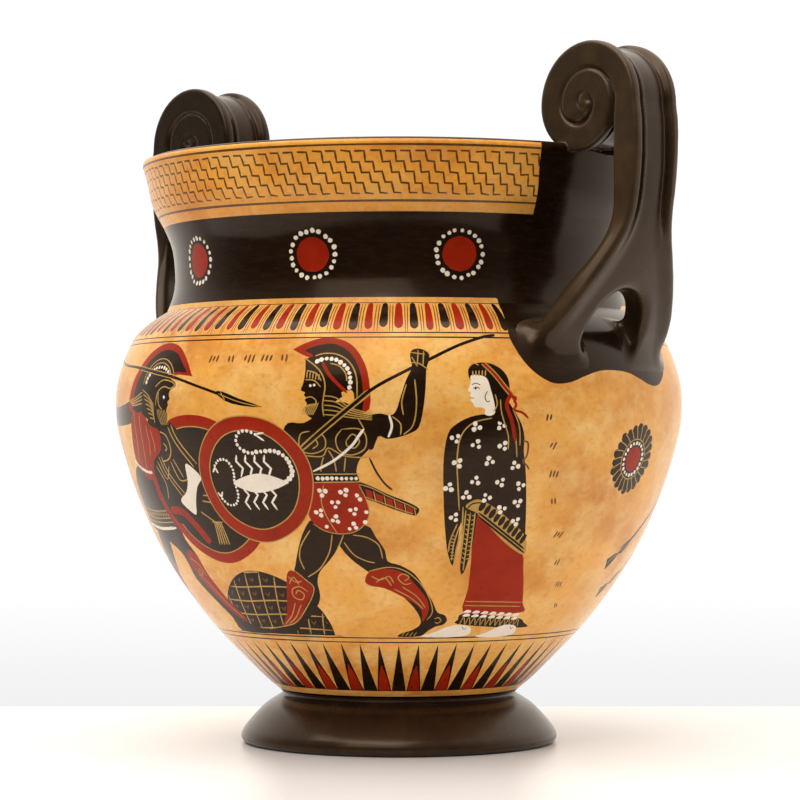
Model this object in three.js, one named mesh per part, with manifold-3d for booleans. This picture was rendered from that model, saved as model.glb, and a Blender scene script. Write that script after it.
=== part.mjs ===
// A volute krater: a wide-mouthed mixing bowl on a turned foot, with two strap handles that rise from
// the shoulder on spread legs and roll over the rim in scrolls. Millimetres, +Z up, the foot on Z = 0,
// the vessel's axis on Z and the handles on +X and -X. The vessel, its foot and its handles are thrown,
// luted together while damp and fired as one, so they are one solid.

import Module from 'manifold-3d';
import * as THREE from 'three';
import { mergeVertices } from 'three/addons/utils/BufferGeometryUtils.js';

// ---- Driving dimensions ----

const wall = 6.5;
const rimHeight = 258.2;
const rimRadius = 114.6;
const footRadius = 70.3;
const footHeight = 23;
const waistRadius = 52;
const bellyRadius = 126.1;
const bellyHeight = 149;
const neckRadius = 100;
const neckHeight = 206;
const neckFootRadius = 103.6;
const neckFootHeight = 191;
const bandFootRadius = 105;
const bandFootHeight = 228.5;
const floorHeight = footHeight + wall;
const aroundVessel = 64;

const handleTop = 300;
const handleHalfWidth = 13.7;
const strapThickness = 11.6;
const strapBow = 0.3;
const scrollStep = strapThickness / 2;
const scrollRadius = 25.8;
const scrollTurns = 5;
const scrollCentre = new THREE.Vector2(123.6, handleTop - scrollRadius);
const strapOuter = scrollCentre.x + scrollRadius;
const strapInner = strapOuter - strapThickness;
const grooveWidth = 1.3;
const grooveDepth = 1.8;
const flangeWidth = 5.4;
const channelDepth = 2;
const leanAngle = THREE.MathUtils.degToRad(33);
const outerLean = { start: 262, radius: 150, clearance: 0.6 };
const innerLean = { start: 232, radius: 46 };
const spreadAngle = THREE.MathUtils.degToRad(29.5);
const spread = { start: 233, radius: 42 };
const archHalfWidth = 17.2;
const archSpring = 178;
const archTop = 196.5;
const rootHeight = 166;
const rootReach = { inner: 80, outer: 160, aside: 60 };

// ---- Helpers ----

const wasm = await Module();
wasm.setup();

const point = (x, y) => new THREE.Vector2(x, y);

/** Points along a smooth curve through a few hand-set points, without the last one. */
function smooth(points, count) {
  return new THREE.SplineCurve(points).getPoints(count).slice(0, -1);
}

/** Points on a circular arc, both ends included. */
function arc(centre, radius, from, to, count) {
  return Array.from({ length: count + 1 }, (_, i) => {
    const angle = from + ((to - from) * i) / count;
    return point(centre.x + radius * Math.cos(angle), centre.y + radius * Math.sin(angle));
  });
}

/** A closed geometry as a manifold solid. */
function solid(geometry) {
  geometry.deleteAttribute('normal');
  geometry.deleteAttribute('uv');
  const merged = mergeVertices(geometry, 1e-4);
  return new wasm.Manifold(new wasm.Mesh({
    numProp: 3,
    vertProperties: new Float32Array(merged.attributes.position.array),
    triVerts: new Uint32Array(merged.index.array),
  }));
}

/** A manifold solid as a geometry. */
function geometryOf(manifold) {
  const mesh = manifold.getMesh();
  const geometry = new THREE.BufferGeometry();
  geometry.setAttribute('position', new THREE.BufferAttribute(mesh.vertProperties, 3));
  geometry.setIndex(new THREE.BufferAttribute(mesh.triVerts, 1));
  return geometry;
}

/** A profile drawn as (distance from the axis, height), turned about the vessel's axis. */
function turned(profile) {
  return solid(new THREE.LatheGeometry(profile, aroundVessel).rotateX(Math.PI / 2));
}

/** An outline drawn as (distance from the axis, height), given a thickness across Y. */
function prismAcross(outline, from, to) {
  const shape = new THREE.Shape(outline);
  const geometry = new THREE.ExtrudeGeometry(shape, { depth: to - from, bevelEnabled: false });
  geometry.rotateX(Math.PI / 2);
  geometry.translate(0, to, 0);
  return solid(geometry);
}

/** An outline drawn as (Y, height), given a thickness along X. */
function prismOutward(outline, from, to) {
  const shape = new THREE.Shape(outline);
  const geometry = new THREE.ExtrudeGeometry(shape, { depth: to - from, bevelEnabled: false });
  geometry.rotateX(Math.PI / 2).rotateZ(Math.PI / 2);
  geometry.translate(from, 0, 0);
  return solid(geometry);
}

// ---- Vessel and foot ----

/** The outside of the vessel, from the foot's edge up to the lip. */
function outerProfile() {
  const foot = smooth([
    point(footRadius - 2.4, 0), point(footRadius, 3.2), point(footRadius - 2, 7.4),
    point(60.8, 15.8), point(54.8, 20), point(waistRadius, footHeight - 0.8),
  ], 8);
  const belly = smooth([
    point(waistRadius + 1, footHeight + 0.6), point(63.5, 33), point(84.6, 55.3),
    point(103.4, 82.2), point(116.1, 109.1), point(124.3, 135), point(bellyRadius, bellyHeight),
    point(124.9, 162), point(119.3, 177.2), point(112.3, 185.2), point(neckFootRadius, neckFootHeight),
  ], 19);
  const neck = smooth([
    point(neckFootRadius, neckFootHeight), point(100.9, 198.5), point(neckRadius, neckHeight),
    point(101.2, 218.8), point(bandFootRadius, bandFootHeight),
  ], 5);
  const band = smooth([
    point(bandFootRadius, bandFootHeight), point(110, 238), point(112.4, 248.5),
    point(rimRadius, rimHeight - 2.2), point(rimRadius - 1.4, rimHeight),
  ], 6);
  return [...foot, ...belly, ...neck, ...band];
}

/** The inside, from the lip down to the middle of the floor. */
function innerProfile() {
  return [
    point(rimRadius - 1.4, rimHeight),
    ...smooth([
      point(rimRadius - 5.4, rimHeight), point(neckRadius + 5 - wall, bandFootHeight),
      point(neckRadius - wall, neckHeight), point(neckFootRadius - wall + 1.4, neckFootHeight - 2),
      point(bellyRadius - wall, bellyHeight), point(115 - wall, 105), point(84, 64),
      point(50, 37), point(0, floorHeight),
    ], 16),
    point(0, floorHeight),
  ];
}

/** The hollow under the foot, from the middle out to the ring that the vessel stands on. */
function undersideProfile() {
  return [
    point(0, footHeight - wall - 3), point(38, footHeight - wall - 4), point(50, 9),
    point(57.5, 0),
  ];
}

const vessel = turned([...undersideProfile(), ...outerProfile(), ...innerProfile()]);

// ---- Handles ----

/** The ends and middles of the half-circles that make the scroll, each smaller than the last. */
function scrollArcs() {
  let edge = strapOuter;
  return Array.from({ length: scrollTurns }, (_, k) => {
    const radius = scrollRadius - k * scrollStep;
    const side = k % 2 === 0 ? 1 : -1;
    const centre = point(edge - side * radius, scrollCentre.y);
    edge -= 2 * side * radius;
    return { centre, radius, from: k * Math.PI, to: (k + 1) * Math.PI };
  });
}

const scroll = scrollArcs();

/** A curve that leaves the vertical on an arc and then runs on straight, down to a height. */
function leaning(radial, { start, radius }, angle, bottom, sign) {
  const turned = Array.from({ length: 6 }, (_, i) => {
    const a = (angle * i) / 5;
    return point(radial - sign * radius * (1 - Math.cos(a)), start - radius * Math.sin(a));
  });
  const last = turned.at(-1);
  const end = point(last.x - sign * (last.y - bottom) * Math.tan(angle), bottom);
  return [...turned, end];
}

/** The strap and scroll seen from the side, with the outward faces set back and the inner one grown. */
function sideOutline(setBack = 0, grown = 0) {
  const [top, under] = scroll;
  const over = arc(top.centre, top.radius - setBack, 0, Math.PI, 13);
  const below = arc(under.centre, under.radius - setBack, Math.PI, 2 * Math.PI, 12).slice(1, -2);
  const bottom = rootHeight - grown;
  const inner = leaning(strapInner - grown, innerLean, leanAngle, bottom, 1);
  const bowed = strapOuter + strapBow - setBack;
  return [
    ...over, ...below, point(strapInner - grown, below.at(-1).y), ...inner,
    point(bowed, bottom), point(bowed, outerLean.start), point(bowed - strapBow * 0.2, scrollCentre.y - 7),
    point(bowed - strapBow * 0.7, scrollCentre.y - 3),
  ];
}

/** The strap's outward face below the lean, turned about the vessel so that the legs follow its round. */
function legFace(setBack = 0) {
  const { start, radius, clearance } = outerLean;
  const face = leaning(strapOuter + strapBow + clearance - setBack, { start, radius }, leanAngle, rootHeight - 10, 1);
  const far = rootReach.outer;
  return turned([
    point(0, face.at(-1).y), ...face.reverse(), point(far, start + 4), point(far, handleTop + 1),
    point(0, handleTop + 1),
  ]);
}

/** The handle seen from outside: a strap that parts into two legs around an arch. */
function frontOutline(halfWidth) {
  const right = leaning(halfWidth, spread, spreadAngle, rootHeight, -1);
  const left = right.map((p) => point(-p.x, p.y)).reverse();
  const over = handleTop + 1;
  return [point(halfWidth, over), ...right, ...left, point(-halfWidth, over)];
}

/** The opening between the legs, a tall round arch. */
function archOutline() {
  const crown = Array.from({ length: 13 }, (_, i) => {
    const a = (Math.PI * i) / 12;
    return point(archHalfWidth * Math.cos(a), archSpring + (archTop - archSpring) * Math.sin(a));
  });
  return [point(archHalfWidth, rootHeight - 1), ...crown, point(-archHalfWidth, rootHeight - 1)];
}

/** The groove that draws the scroll on the handle's side face, as a band along the inner half-circles. */
function grooveOutline() {
  const inner = scroll.slice(2);
  const edge = (offset) => inner.flatMap(({ centre, radius, from, to }, k) => {
    const turn = arc(centre, Math.max(radius + offset, 0.8), from, to, 10 - 2 * k);
    return k === 0 ? turn : turn.slice(1);
  });
  return [...edge(grooveWidth / 2), ...edge(-grooveWidth / 2).reverse()];
}

/** One handle, standing out along +X. */
function makeHandle() {
  const { inner, outer, aside } = rootReach;
  const side = handleHalfWidth;
  const seenFromOutside = (outline) => prismOutward(outline, inner, outer);
  const block = prismAcross(sideOutline(), -aside, aside).intersect(legFace());
  const around = prismAcross(sideOutline(-3), -aside, aside);
  const kept = prismAcross(sideOutline(channelDepth, 3), -aside - 1, aside + 1).intersect(legFace(channelDepth));
  const channel = around.subtract(kept).intersect(seenFromOutside(frontOutline(side - flangeWidth)));
  const groove = grooveOutline();
  return block
    .intersect(seenFromOutside(frontOutline(side)))
    .subtract(channel)
    .subtract(seenFromOutside(archOutline()))
    .subtract(prismAcross(groove, side - grooveDepth, side + 1))
    .subtract(prismAcross(groove, -side - 1, -side + grooveDepth));
}

/** Everything inside the vessel's wall, so that handle roots don't stand out in the hollow. */
function hollowCore() {
  const inside = innerProfile();
  const top = point(0, rimHeight + 1);
  return turned([
    point(0, floorHeight), ...inside.slice(1, -1).reverse(), point(rimRadius - 5.4, rimHeight + 1), top,
  ]);
}

const handle = makeHandle().subtract(hollowCore());
const opposite = handle.rotate([0, 0, 180]);
const krater = vessel.add(handle).add(opposite);

// ---- The finished piece ----

const glazedClay = new THREE.MeshStandardMaterial({ color: 0xc98a3c, roughness: 0.25, metalness: 0 });

const mesh = new THREE.Mesh(geometryOf(krater), glazedClay);
mesh.name = 'krater';

const part = new THREE.Group();
part.add(mesh);

export default part;
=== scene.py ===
"""A hand-painted souvenir volute krater: the painted clay vessel, its two scroll handles and a pale studio.

Lengths inside the script are millimetres, as a potter would measure them, and meshes are written in metres.
The vessel's outside is drawn unrolled on a flat canvas, u round the pot and v up its wall, cut into faces
along every brush line, and rolled back onto the turned profile, so that the painting is colour and not relief.
"""

import logging
import math
from dataclasses import dataclass, field
from enum import Enum

import bpy
import numpy as np
import openvdb
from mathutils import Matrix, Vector
from mathutils.geometry import delaunay_2d_cdt

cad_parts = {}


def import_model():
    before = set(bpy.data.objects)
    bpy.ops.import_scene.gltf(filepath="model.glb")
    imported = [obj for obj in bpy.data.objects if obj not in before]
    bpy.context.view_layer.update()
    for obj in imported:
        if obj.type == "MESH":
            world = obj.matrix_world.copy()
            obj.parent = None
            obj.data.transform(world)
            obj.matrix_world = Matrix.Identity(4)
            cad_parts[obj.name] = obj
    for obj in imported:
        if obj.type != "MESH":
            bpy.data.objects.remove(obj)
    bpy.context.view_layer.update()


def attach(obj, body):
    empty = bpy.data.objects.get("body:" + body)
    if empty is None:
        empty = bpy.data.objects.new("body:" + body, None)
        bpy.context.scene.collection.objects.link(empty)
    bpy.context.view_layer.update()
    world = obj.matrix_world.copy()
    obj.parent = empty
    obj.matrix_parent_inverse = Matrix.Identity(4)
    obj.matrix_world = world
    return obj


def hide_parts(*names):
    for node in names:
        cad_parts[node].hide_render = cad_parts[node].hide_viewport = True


LOG = logging.getLogger("krater")
MM = 0.001
ROUND_SCALE = 110.0
COLUMNS = 144


class Paint(Enum):
    """What a patch of the surface is finished with, in the order of the mesh's material slots."""

    CLAY = 0
    SLIP = 1
    RED = 2
    CREAM = 3
    INCISED = 4
    WASH = 5
    FOOT = 6
    OCHRE = 7


def stand(name: str, data: bpy.types.ID) -> bpy.types.Object:
    """Puts a mesh, a light or a camera into the scene."""
    made = bpy.data.objects.new(name, data)
    bpy.context.scene.collection.objects.link(made)
    return made


# ---- Curves ----


def smooth_curve(points: np.ndarray, steps: int, closed: bool = False) -> np.ndarray:
    """Runs a Catmull-Rom curve through points; a point given twice makes a corner.

    Args:
        points: The points to pass through, one row each.
        steps: How many pieces each stretch between two points is cut into.
        closed: Whether the curve joins up with its own start.

    Returns:
        The points along the curve, without the repeated start of a closed one.
    """
    points = np.asarray(points, float)
    count = len(points)
    last = count if closed else count - 1
    index = np.arange(last)
    pick = (lambda i: points[i % count]) if closed else (lambda i: points[np.clip(i, 0, count - 1)])
    p0, p1, p2, p3 = (pick(index + k)[:, None, :] for k in (-1, 0, 1, 2))
    t = (np.arange(steps) / steps)[None, :, None]
    m1, m2 = (p2 - p0) / 2, (p3 - p1) / 2
    run = (
        p1 + m1 * t + (3 * (p2 - p1) - 2 * m1 - m2) * t**2 + (2 * (p1 - p2) + m1 + m2) * t**3
    ).reshape(-1, points.shape[1])
    return run if closed else np.vstack([run, points[-1:]])


def split_long(loop: np.ndarray, longest: float, closed: bool = True) -> np.ndarray:
    """Cuts the edges of a polygon or line so that none is longer than a limit.

    Args:
        loop: The corners in order.
        longest: The most that an edge may measure.
        closed: Whether the last corner joins the first.

    Returns:
        The corners with the added ones.
    """
    ends = np.roll(loop, -1, axis=0) if closed else loop[1:]
    starts = loop if closed else loop[:-1]
    pieces = []
    for start, end in zip(starts, ends):
        parts = max(1, math.ceil(float(np.hypot(*(end - start))) / longest))
        pieces.append(start + (end - start) * (np.arange(parts) / parts)[:, None])
    if not closed:
        pieces.append(loop[-1:])
    return np.vstack(pieces)


def spaced(points: list[tuple[float, float]], steps: int, count: int) -> list[tuple[float, float]]:
    """Spots spaced evenly along a smooth curve.

    Args:
        points: The points that the curve passes through.
        steps: Pieces to each stretch of the curve.
        count: How many spots there are, its two ends among them.

    Returns:
        The spots in order.
    """
    run = smooth_curve(np.array(points), steps)
    gone = np.r_[0, np.cumsum(np.hypot(*np.diff(run, axis=0).T))]
    stops = np.linspace(0, gone[-1], count)
    return list(zip(np.interp(stops, gone, run[:, 0]), np.interp(stops, gone, run[:, 1])))


# ---- The turned profile ----


@dataclass
class Profile:
    """The vessel's turned outline, in the same sizes as the solid's."""

    wall: float = 6.5
    rim_height: float = 258.2
    rim_radius: float = 114.6
    lip_round: float = 2.2
    foot_radius: float = 70.3
    foot_height: float = 23.0
    waist_radius: float = 52.0
    belly_radius: float = 126.1
    belly_height: float = 149.0
    neck_radius: float = 100.0
    neck_height: float = 206.0
    neck_foot_radius: float = 103.6
    neck_foot_height: float = 191.0
    band_foot_radius: float = 105.0
    band_foot_height: float = 228.5
    steps: int = 14
    ground_height: float = 49.0

    def __post_init__(self) -> None:
        """Lays out the outside from the waist above the foot to the lip, with its arc length."""
        belly = smooth_curve(
            np.array([
                (self.waist_radius + 1, self.foot_height + 0.6), (63.5, 33.0), (84.6, 55.3), (103.4, 82.2),
                (116.1, 109.1), (124.3, 135.0), (self.belly_radius, self.belly_height), (124.9, 162.0),
                (119.3, 177.2), (112.3, 185.2), (self.neck_foot_radius, self.neck_foot_height),
            ]), self.steps,
        )
        neck = smooth_curve(
            np.array([
                (self.neck_foot_radius, self.neck_foot_height), (100.9, 198.5),
                (self.neck_radius, self.neck_height), (101.2, 218.8),
                (self.band_foot_radius, self.band_foot_height),
            ]), self.steps,
        )
        lip = self.lip_round
        band = smooth_curve(
            np.array([
                (self.band_foot_radius, self.band_foot_height), (110.0, 238.0), (112.4, 248.5),
                (self.rim_radius, self.rim_height - lip),
            ]), self.steps,
        )
        turn = np.linspace(0, math.pi / 2, 7)[1:]
        edge = np.c_[self.rim_radius - lip * (1 - np.cos(turn)), self.rim_height - lip * (1 - np.sin(turn))]
        self.outside = np.vstack([belly, neck[1:], band[1:], edge])
        self.length = np.r_[0, np.cumsum(np.hypot(*np.diff(self.outside, axis=0).T))]
        self.zero = self.length_at(self.ground_height)
        corners = (len(belly) - 1, len(belly) + len(neck) - 2)
        self.creases = [float(self.length[i]) - self.zero for i in corners]

    def length_at(self, height: float) -> float:
        """The arc length from the waist to a height on the outside."""
        return float(np.interp(height, self.outside[:, 1], self.length))

    def v_at(self, height: float) -> float:
        """The canvas's v at a height on the outside."""
        return self.length_at(height) - self.zero

    def radius_at(self, height: np.ndarray) -> np.ndarray:
        """The outside's radius at some heights."""
        return np.interp(height, self.outside[:, 1], self.outside[:, 0])

    @property
    def v_range(self) -> tuple[float, float]:
        """The canvas's lowest and highest v."""
        return -self.zero, float(self.length[-1]) - self.zero

    def at(self, v: np.ndarray) -> tuple[np.ndarray, np.ndarray]:
        """The radius and height at some v."""
        s = np.asarray(v) + self.zero
        return np.interp(s, self.length, self.outside[:, 0]), np.interp(s, self.length, self.outside[:, 1])

    def slope(self, v: np.ndarray, side: np.ndarray) -> tuple[np.ndarray, np.ndarray]:
        """The outward normal at some v, taken on the side of a crease that another v lies on.

        Args:
            v: Where the normal is wanted.
            side: A v on the same face, which says which side of a crease counts.

        Returns:
            The radial and the upward share of the unit normal.
        """
        reach = 1.6
        low, high = self.v_range
        a, b = np.maximum(v - reach, low), np.minimum(v + reach, high)
        for crease in self.creases:
            a = np.where((side > crease) & (a < crease), crease, a)
            b = np.where((side < crease) & (b > crease), crease, b)
        (ra, za), (rb, zb) = self.at(a), self.at(b)
        out, up = zb - za, ra - rb
        size = np.maximum(np.hypot(out, up), 1e-9)
        return out / size, up / size


# ---- The canvas ----


@dataclass
class Canvas:
    """The unrolled outside of the vessel, which holds painted shapes in the order they were brushed on."""

    profile: Profile
    seed: int = 7
    longest_edge: float = 4.0
    shapes: list[tuple[Paint, np.ndarray]] = field(default_factory=list)

    def __post_init__(self) -> None:
        """Starts the painter's hand."""
        self.hand = np.random.default_rng(self.seed)

    @property
    def u_range(self) -> tuple[float, float]:
        """The canvas's two ends, which meet behind the handle on -X."""
        return self.u_at(-180.0), self.u_at(180.0)

    @staticmethod
    def u_at(azimuth: float) -> float:
        """The canvas's u at an azimuth in degrees, nought in the middle of the painted side."""
        return math.radians(azimuth + 90.0) * ROUND_SCALE

    def widening(self, v: float) -> float:
        """How much wider a shape is drawn at some v than it comes out on the pot."""
        return ROUND_SCALE / float(self.profile.at(np.array(v))[0])

    def fill(self, paint: Paint, points: list[tuple[float, float]] | np.ndarray, steps: int = 0) -> None:
        """Fills an area.

        Args:
            paint: What it is filled with.
            points: Its corners, in canvas millimetres.
            steps: Pieces to each stretch where the outline is a curve; nought keeps it straight.
        """
        loop = np.asarray(points, float)
        if steps:
            loop = smooth_curve(loop, steps, closed=True)
        keep = np.hypot(*(loop - np.roll(loop, 1, axis=0)).T) > 1e-3
        self.shapes.append((paint, split_long(loop[keep], self.longest_edge)))

    def line(
        self, paint: Paint, points: list[tuple[float, float]] | np.ndarray, width: float,
        steps: int = 4, ends: tuple[float, float] = (0.35, 0.35),
    ) -> None:
        """Draws a brush or needle line.

        Args:
            paint: What it is drawn with.
            points: The points it passes through, in canvas millimetres.
            width: Its width in millimetres.
            steps: Pieces to each stretch of the curve; nought keeps it straight.
            ends: How wide it is at its start and at its end, as shares of the width.
        """
        run = np.asarray(points, float)
        run = smooth_curve(run, steps) if steps and len(run) > 2 else run
        total = float(np.hypot(*np.diff(run, axis=0).T).sum())
        run = split_long(run, min(self.longest_edge, total / 4), closed=False)
        step = np.gradient(run, axis=0)
        step /= np.maximum(np.hypot(*step.T), 1e-9)[:, None]
        along = np.linspace(0, 1, len(run))
        swell = np.minimum(1, np.minimum(ends[0] + along * 6, ends[1] + (1 - along) * 6))
        half = (width / 2 * swell)[:, None] * np.c_[-step[:, 1], step[:, 0]]
        self.shapes.append((paint, np.vstack([run + half, (run - half)[::-1]])))

    def dot(self, paint: Paint, u: float, v: float, radius: float, sides: int = 10, loose: float = 0.0) -> None:
        """Dabs a dot that comes out round on the pot.

        Args:
            paint: What it is dabbed with.
            u: Its middle round the pot.
            v: Its middle up the wall.
            radius: Its radius in millimetres.
            sides: How many corners it has.
            loose: How unevenly it is brushed, as a share of the radius.
        """
        turn = np.linspace(0, 2 * math.pi, sides, endpoint=False) + self.hand.uniform(0, 1)
        reach = radius * (1 + loose * self.hand.uniform(-1, 1, sides))
        if loose:
            u, v = u + radius * loose * self.hand.uniform(-1, 1), v + radius * loose * self.hand.uniform(-1, 1)
        self.fill(paint, np.c_[u + reach * np.cos(turn) * self.widening(v), v + reach * np.sin(turn)])

    def ring(self, paint: Paint, v: float, width: float, wander: float = 0.12) -> None:
        """Draws a line all the way round, with the slight wander of a brush held to a turning wheel."""
        low, high = self.u_range
        u = np.linspace(low, high, 2 * COLUMNS + 1)
        turn = (u - low) / (high - low) * 2 * math.pi
        wave = sum(wander / k * np.sin(k * turn + self.hand.uniform(0, 6.3)) for k in (2, 3, 5, 9))
        half = width / 2 * (1 + 0.12 * np.sin(7 * turn + self.hand.uniform(0, 6.3)))
        top, bottom = np.c_[u, v + wave + half], np.c_[u, v + wave - half]
        self.shapes.append((paint, np.vstack([bottom, top[::-1]])))

    def strip(self, paint: Paint, low: float, high: float) -> None:
        """Fills everything between two heights, all the way round."""
        start, end = self.u_range
        u = np.linspace(start, end, COLUMNS + 1)
        self.shapes.append((paint, np.vstack([np.c_[u, 0 * u + low], np.c_[u, 0 * u + high][::-1]])))


# ---- Ornament ----


@dataclass
class RimBand:
    """The orange band under the lip, with four rows of stepped lines."""

    canvas: Canvas
    stairs: int = 114
    rows: int = 4
    line_width: float = 0.95

    def paint(self) -> None:
        """Draws the lip's edge, the border lines and the stepped lines."""
        canvas, at = self.canvas, self.canvas.profile.v_at
        canvas.strip(Paint.OCHRE, at(228.3), at(257.5))
        canvas.strip(Paint.SLIP, at(257.3), canvas.profile.v_range[1])
        canvas.ring(Paint.WASH, at(255.0), 0.9)
        canvas.ring(Paint.WASH, at(232.6), 1.0)
        top, bottom = at(252.4), at(235.5)
        low, high = canvas.u_range
        pitch = (high - low) / self.stairs
        drop = (top - bottom) / self.rows
        for stair in range(self.stairs):
            u = low + (stair + 0.5 + canvas.hand.uniform(-0.08, 0.08)) * pitch
            points = [(u - 0.62 * pitch, top + 0.1)]
            for row in range(self.rows):
                v = top - row * drop
                points += [(u + row * 0.62 * pitch, v), (u + row * 0.62 * pitch + 0.12 * pitch, v - drop)]
            points.append((points[-1][0] + 0.55 * pitch, bottom - 0.1))
            loose = canvas.hand.uniform(-0.26, 0.26, (len(points), 2))
            canvas.line(Paint.WASH, np.array(points) + loose, self.line_width, steps=0, ends=(0.8, 0.6))


@dataclass
class NeckDiscs:
    """The black neck with its red discs, each in a ring of cream dots."""

    canvas: Canvas
    azimuths: tuple[float, ...] = (-142.0, -104.0, -66.0, -30.5, 38.0, 76.0, 104.0, 142.0)
    height: float = 211.3
    radius: float = 7.3
    ring_radius: float = 9.8
    dots: int = 21

    def paint(self) -> None:
        """Blacks the neck and dabs the discs."""
        canvas, at = self.canvas, self.canvas.profile.v_at
        canvas.strip(Paint.SLIP, at(193.1), at(228.3))
        v = at(self.height)
        for azimuth in self.azimuths:
            u = canvas.u_at(azimuth)
            canvas.dot(Paint.RED, u, v, self.radius, sides=30, loose=0.02)
            for k in range(self.dots):
                turn = 2 * math.pi * (k + canvas.hand.uniform(-0.12, 0.12)) / self.dots
                reach = self.ring_radius + canvas.hand.uniform(-0.25, 0.25)
                canvas.dot(
                    Paint.CREAM, u + reach * math.cos(turn) * canvas.widening(v),
                    v + reach * math.sin(turn), canvas.hand.uniform(0.85, 1.15), loose=0.12,
                )


@dataclass
class TongueBand:
    """The band of red and black tongues on the shoulder."""

    canvas: Canvas
    tongues: int = 116

    def paint(self) -> None:
        """Draws the tongues, the pairs of lines between them and the lines under them."""
        canvas, at = self.canvas, self.canvas.profile.v_at
        canvas.ring(Paint.SLIP, at(190.7), 0.6)
        canvas.ring(Paint.SLIP, at(177.9), 0.6)
        canvas.ring(Paint.SLIP, at(175.9), 0.6)
        top, bottom = at(190.2), at(178.4)
        low, high = canvas.u_range
        pitch = (high - low) / self.tongues
        reach = top - bottom
        for k in range(self.tongues):
            u = low + (k + 0.5) * pitch + canvas.hand.uniform(-0.12, 0.12)
            half = 0.27 * pitch * canvas.hand.uniform(0.88, 1.12)
            foot = bottom + reach * canvas.hand.uniform(0.03, 0.13)
            lean = canvas.hand.uniform(-0.25, 0.25)
            paint = Paint.RED if k % 2 else Paint.SLIP
            canvas.fill(paint, [
                (u - half * 0.62, top - 0.1), (u - half * 0.9, top - 0.45 * reach), (u + lean - half, foot + 2.6),
                (u + lean - half * 0.66, foot + 0.7), (u + lean, foot), (u + lean + half * 0.66, foot + 0.7),
                (u + lean + half, foot + 2.6), (u + half * 0.9, top - 0.45 * reach), (u + half * 0.62, top - 0.1),
            ], steps=2)
            for side in (-0.59, -0.41):
                line = u + side * pitch
                sway = canvas.hand.uniform(-0.18, 0.18, 2)
                canvas.line(Paint.WASH, [(line + sway[0], top + 0.3), (line + sway[1], bottom - 0.2)], 0.42, 0)


@dataclass
class RayBand:
    """The rays that rise from the foot."""

    canvas: Canvas
    rays: int = 60

    def paint(self) -> None:
        """Draws the ground lines and the rays, every other one with a red heart."""
        canvas, at = self.canvas, self.canvas.profile.v_at
        canvas.ring(Paint.SLIP, at(51.3), 0.7)
        canvas.ring(Paint.SLIP, at(49.4), 0.7)
        low, high = canvas.u_range
        pitch = (high - low) / self.rays
        foot, tip, start = at(27.0), at(48.9), canvas.profile.v_range[0]
        canvas.strip(Paint.SLIP, start, at(24.4))
        for k in range(self.rays):
            u = low + (k + 0.5) * pitch + canvas.hand.uniform(-0.3, 0.3)
            end = tip + canvas.hand.uniform(-1.2, 0.2)
            rise = end - foot
            self.ray(Paint.SLIP, u, (foot, foot + 0.45 * rise, end), (0.50 * pitch, 0.25 * pitch))
            if k % 2:
                self.ray(
                    Paint.RED, u, (foot + 0.5, foot + 0.35 * rise, foot + 0.58 * rise), (0.42 * pitch, 0.22 * pitch),
                )

    def ray(self, paint: Paint, u: float, heights: tuple[float, ...], halves: tuple[float, float]) -> None:
        """Fills one ray, given its foot's, waist's and tip's heights and the first two's half widths."""
        (foot, waist, tip), (wide, narrow) = heights, halves
        self.canvas.fill(paint, [
            (u - wide, foot), (u - narrow, waist), (u, tip), (u + narrow, waist), (u + wide, foot),
        ])


@dataclass
class HandleRoots:
    """The dark slip round the roots of the handles, which runs from the lip down to the belly."""

    canvas: Canvas
    spill: float = 14.0
    creep: float = 1.4
    neck_foot: float = 192.0

    def paint(self) -> None:
        """Blacks both sides, with the scalloped lower edge that the brush left."""
        canvas, at = self.canvas, self.canvas.profile.v_at
        half = [
            (14.0, 258.0), (13.6, 243.0), (12.8, 228.0), (13.0, 226.0), (13.0, 196.0), (21.4, 193.4),
            (21.6, 191.0), (22.9, 178.8), (21.9, 171.0), (19.9, 164.4), (17.4, 160.0), (14.4, 157.4),
            (10.8, 158.0), (7.4, 160.4), (3.6, 162.7), (0.0, 163.4),
        ]
        for azimuth in (0.0, 180.0, -180.0):
            sign = 1 if azimuth == 0 else -1
            edge = [(canvas.u_at(azimuth - sign * a), at(z)) for a, z in half]
            far = [(a + (self.spill if z > self.neck_foot else self.creep), z) for a, z in reversed(half[:-1])]
            back = [(canvas.u_at(azimuth + sign * a), at(z)) for a, z in far]
            canvas.fill(Paint.SLIP, smooth_curve(np.array(edge + back), 4))


# ---- The vessel ----


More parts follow.
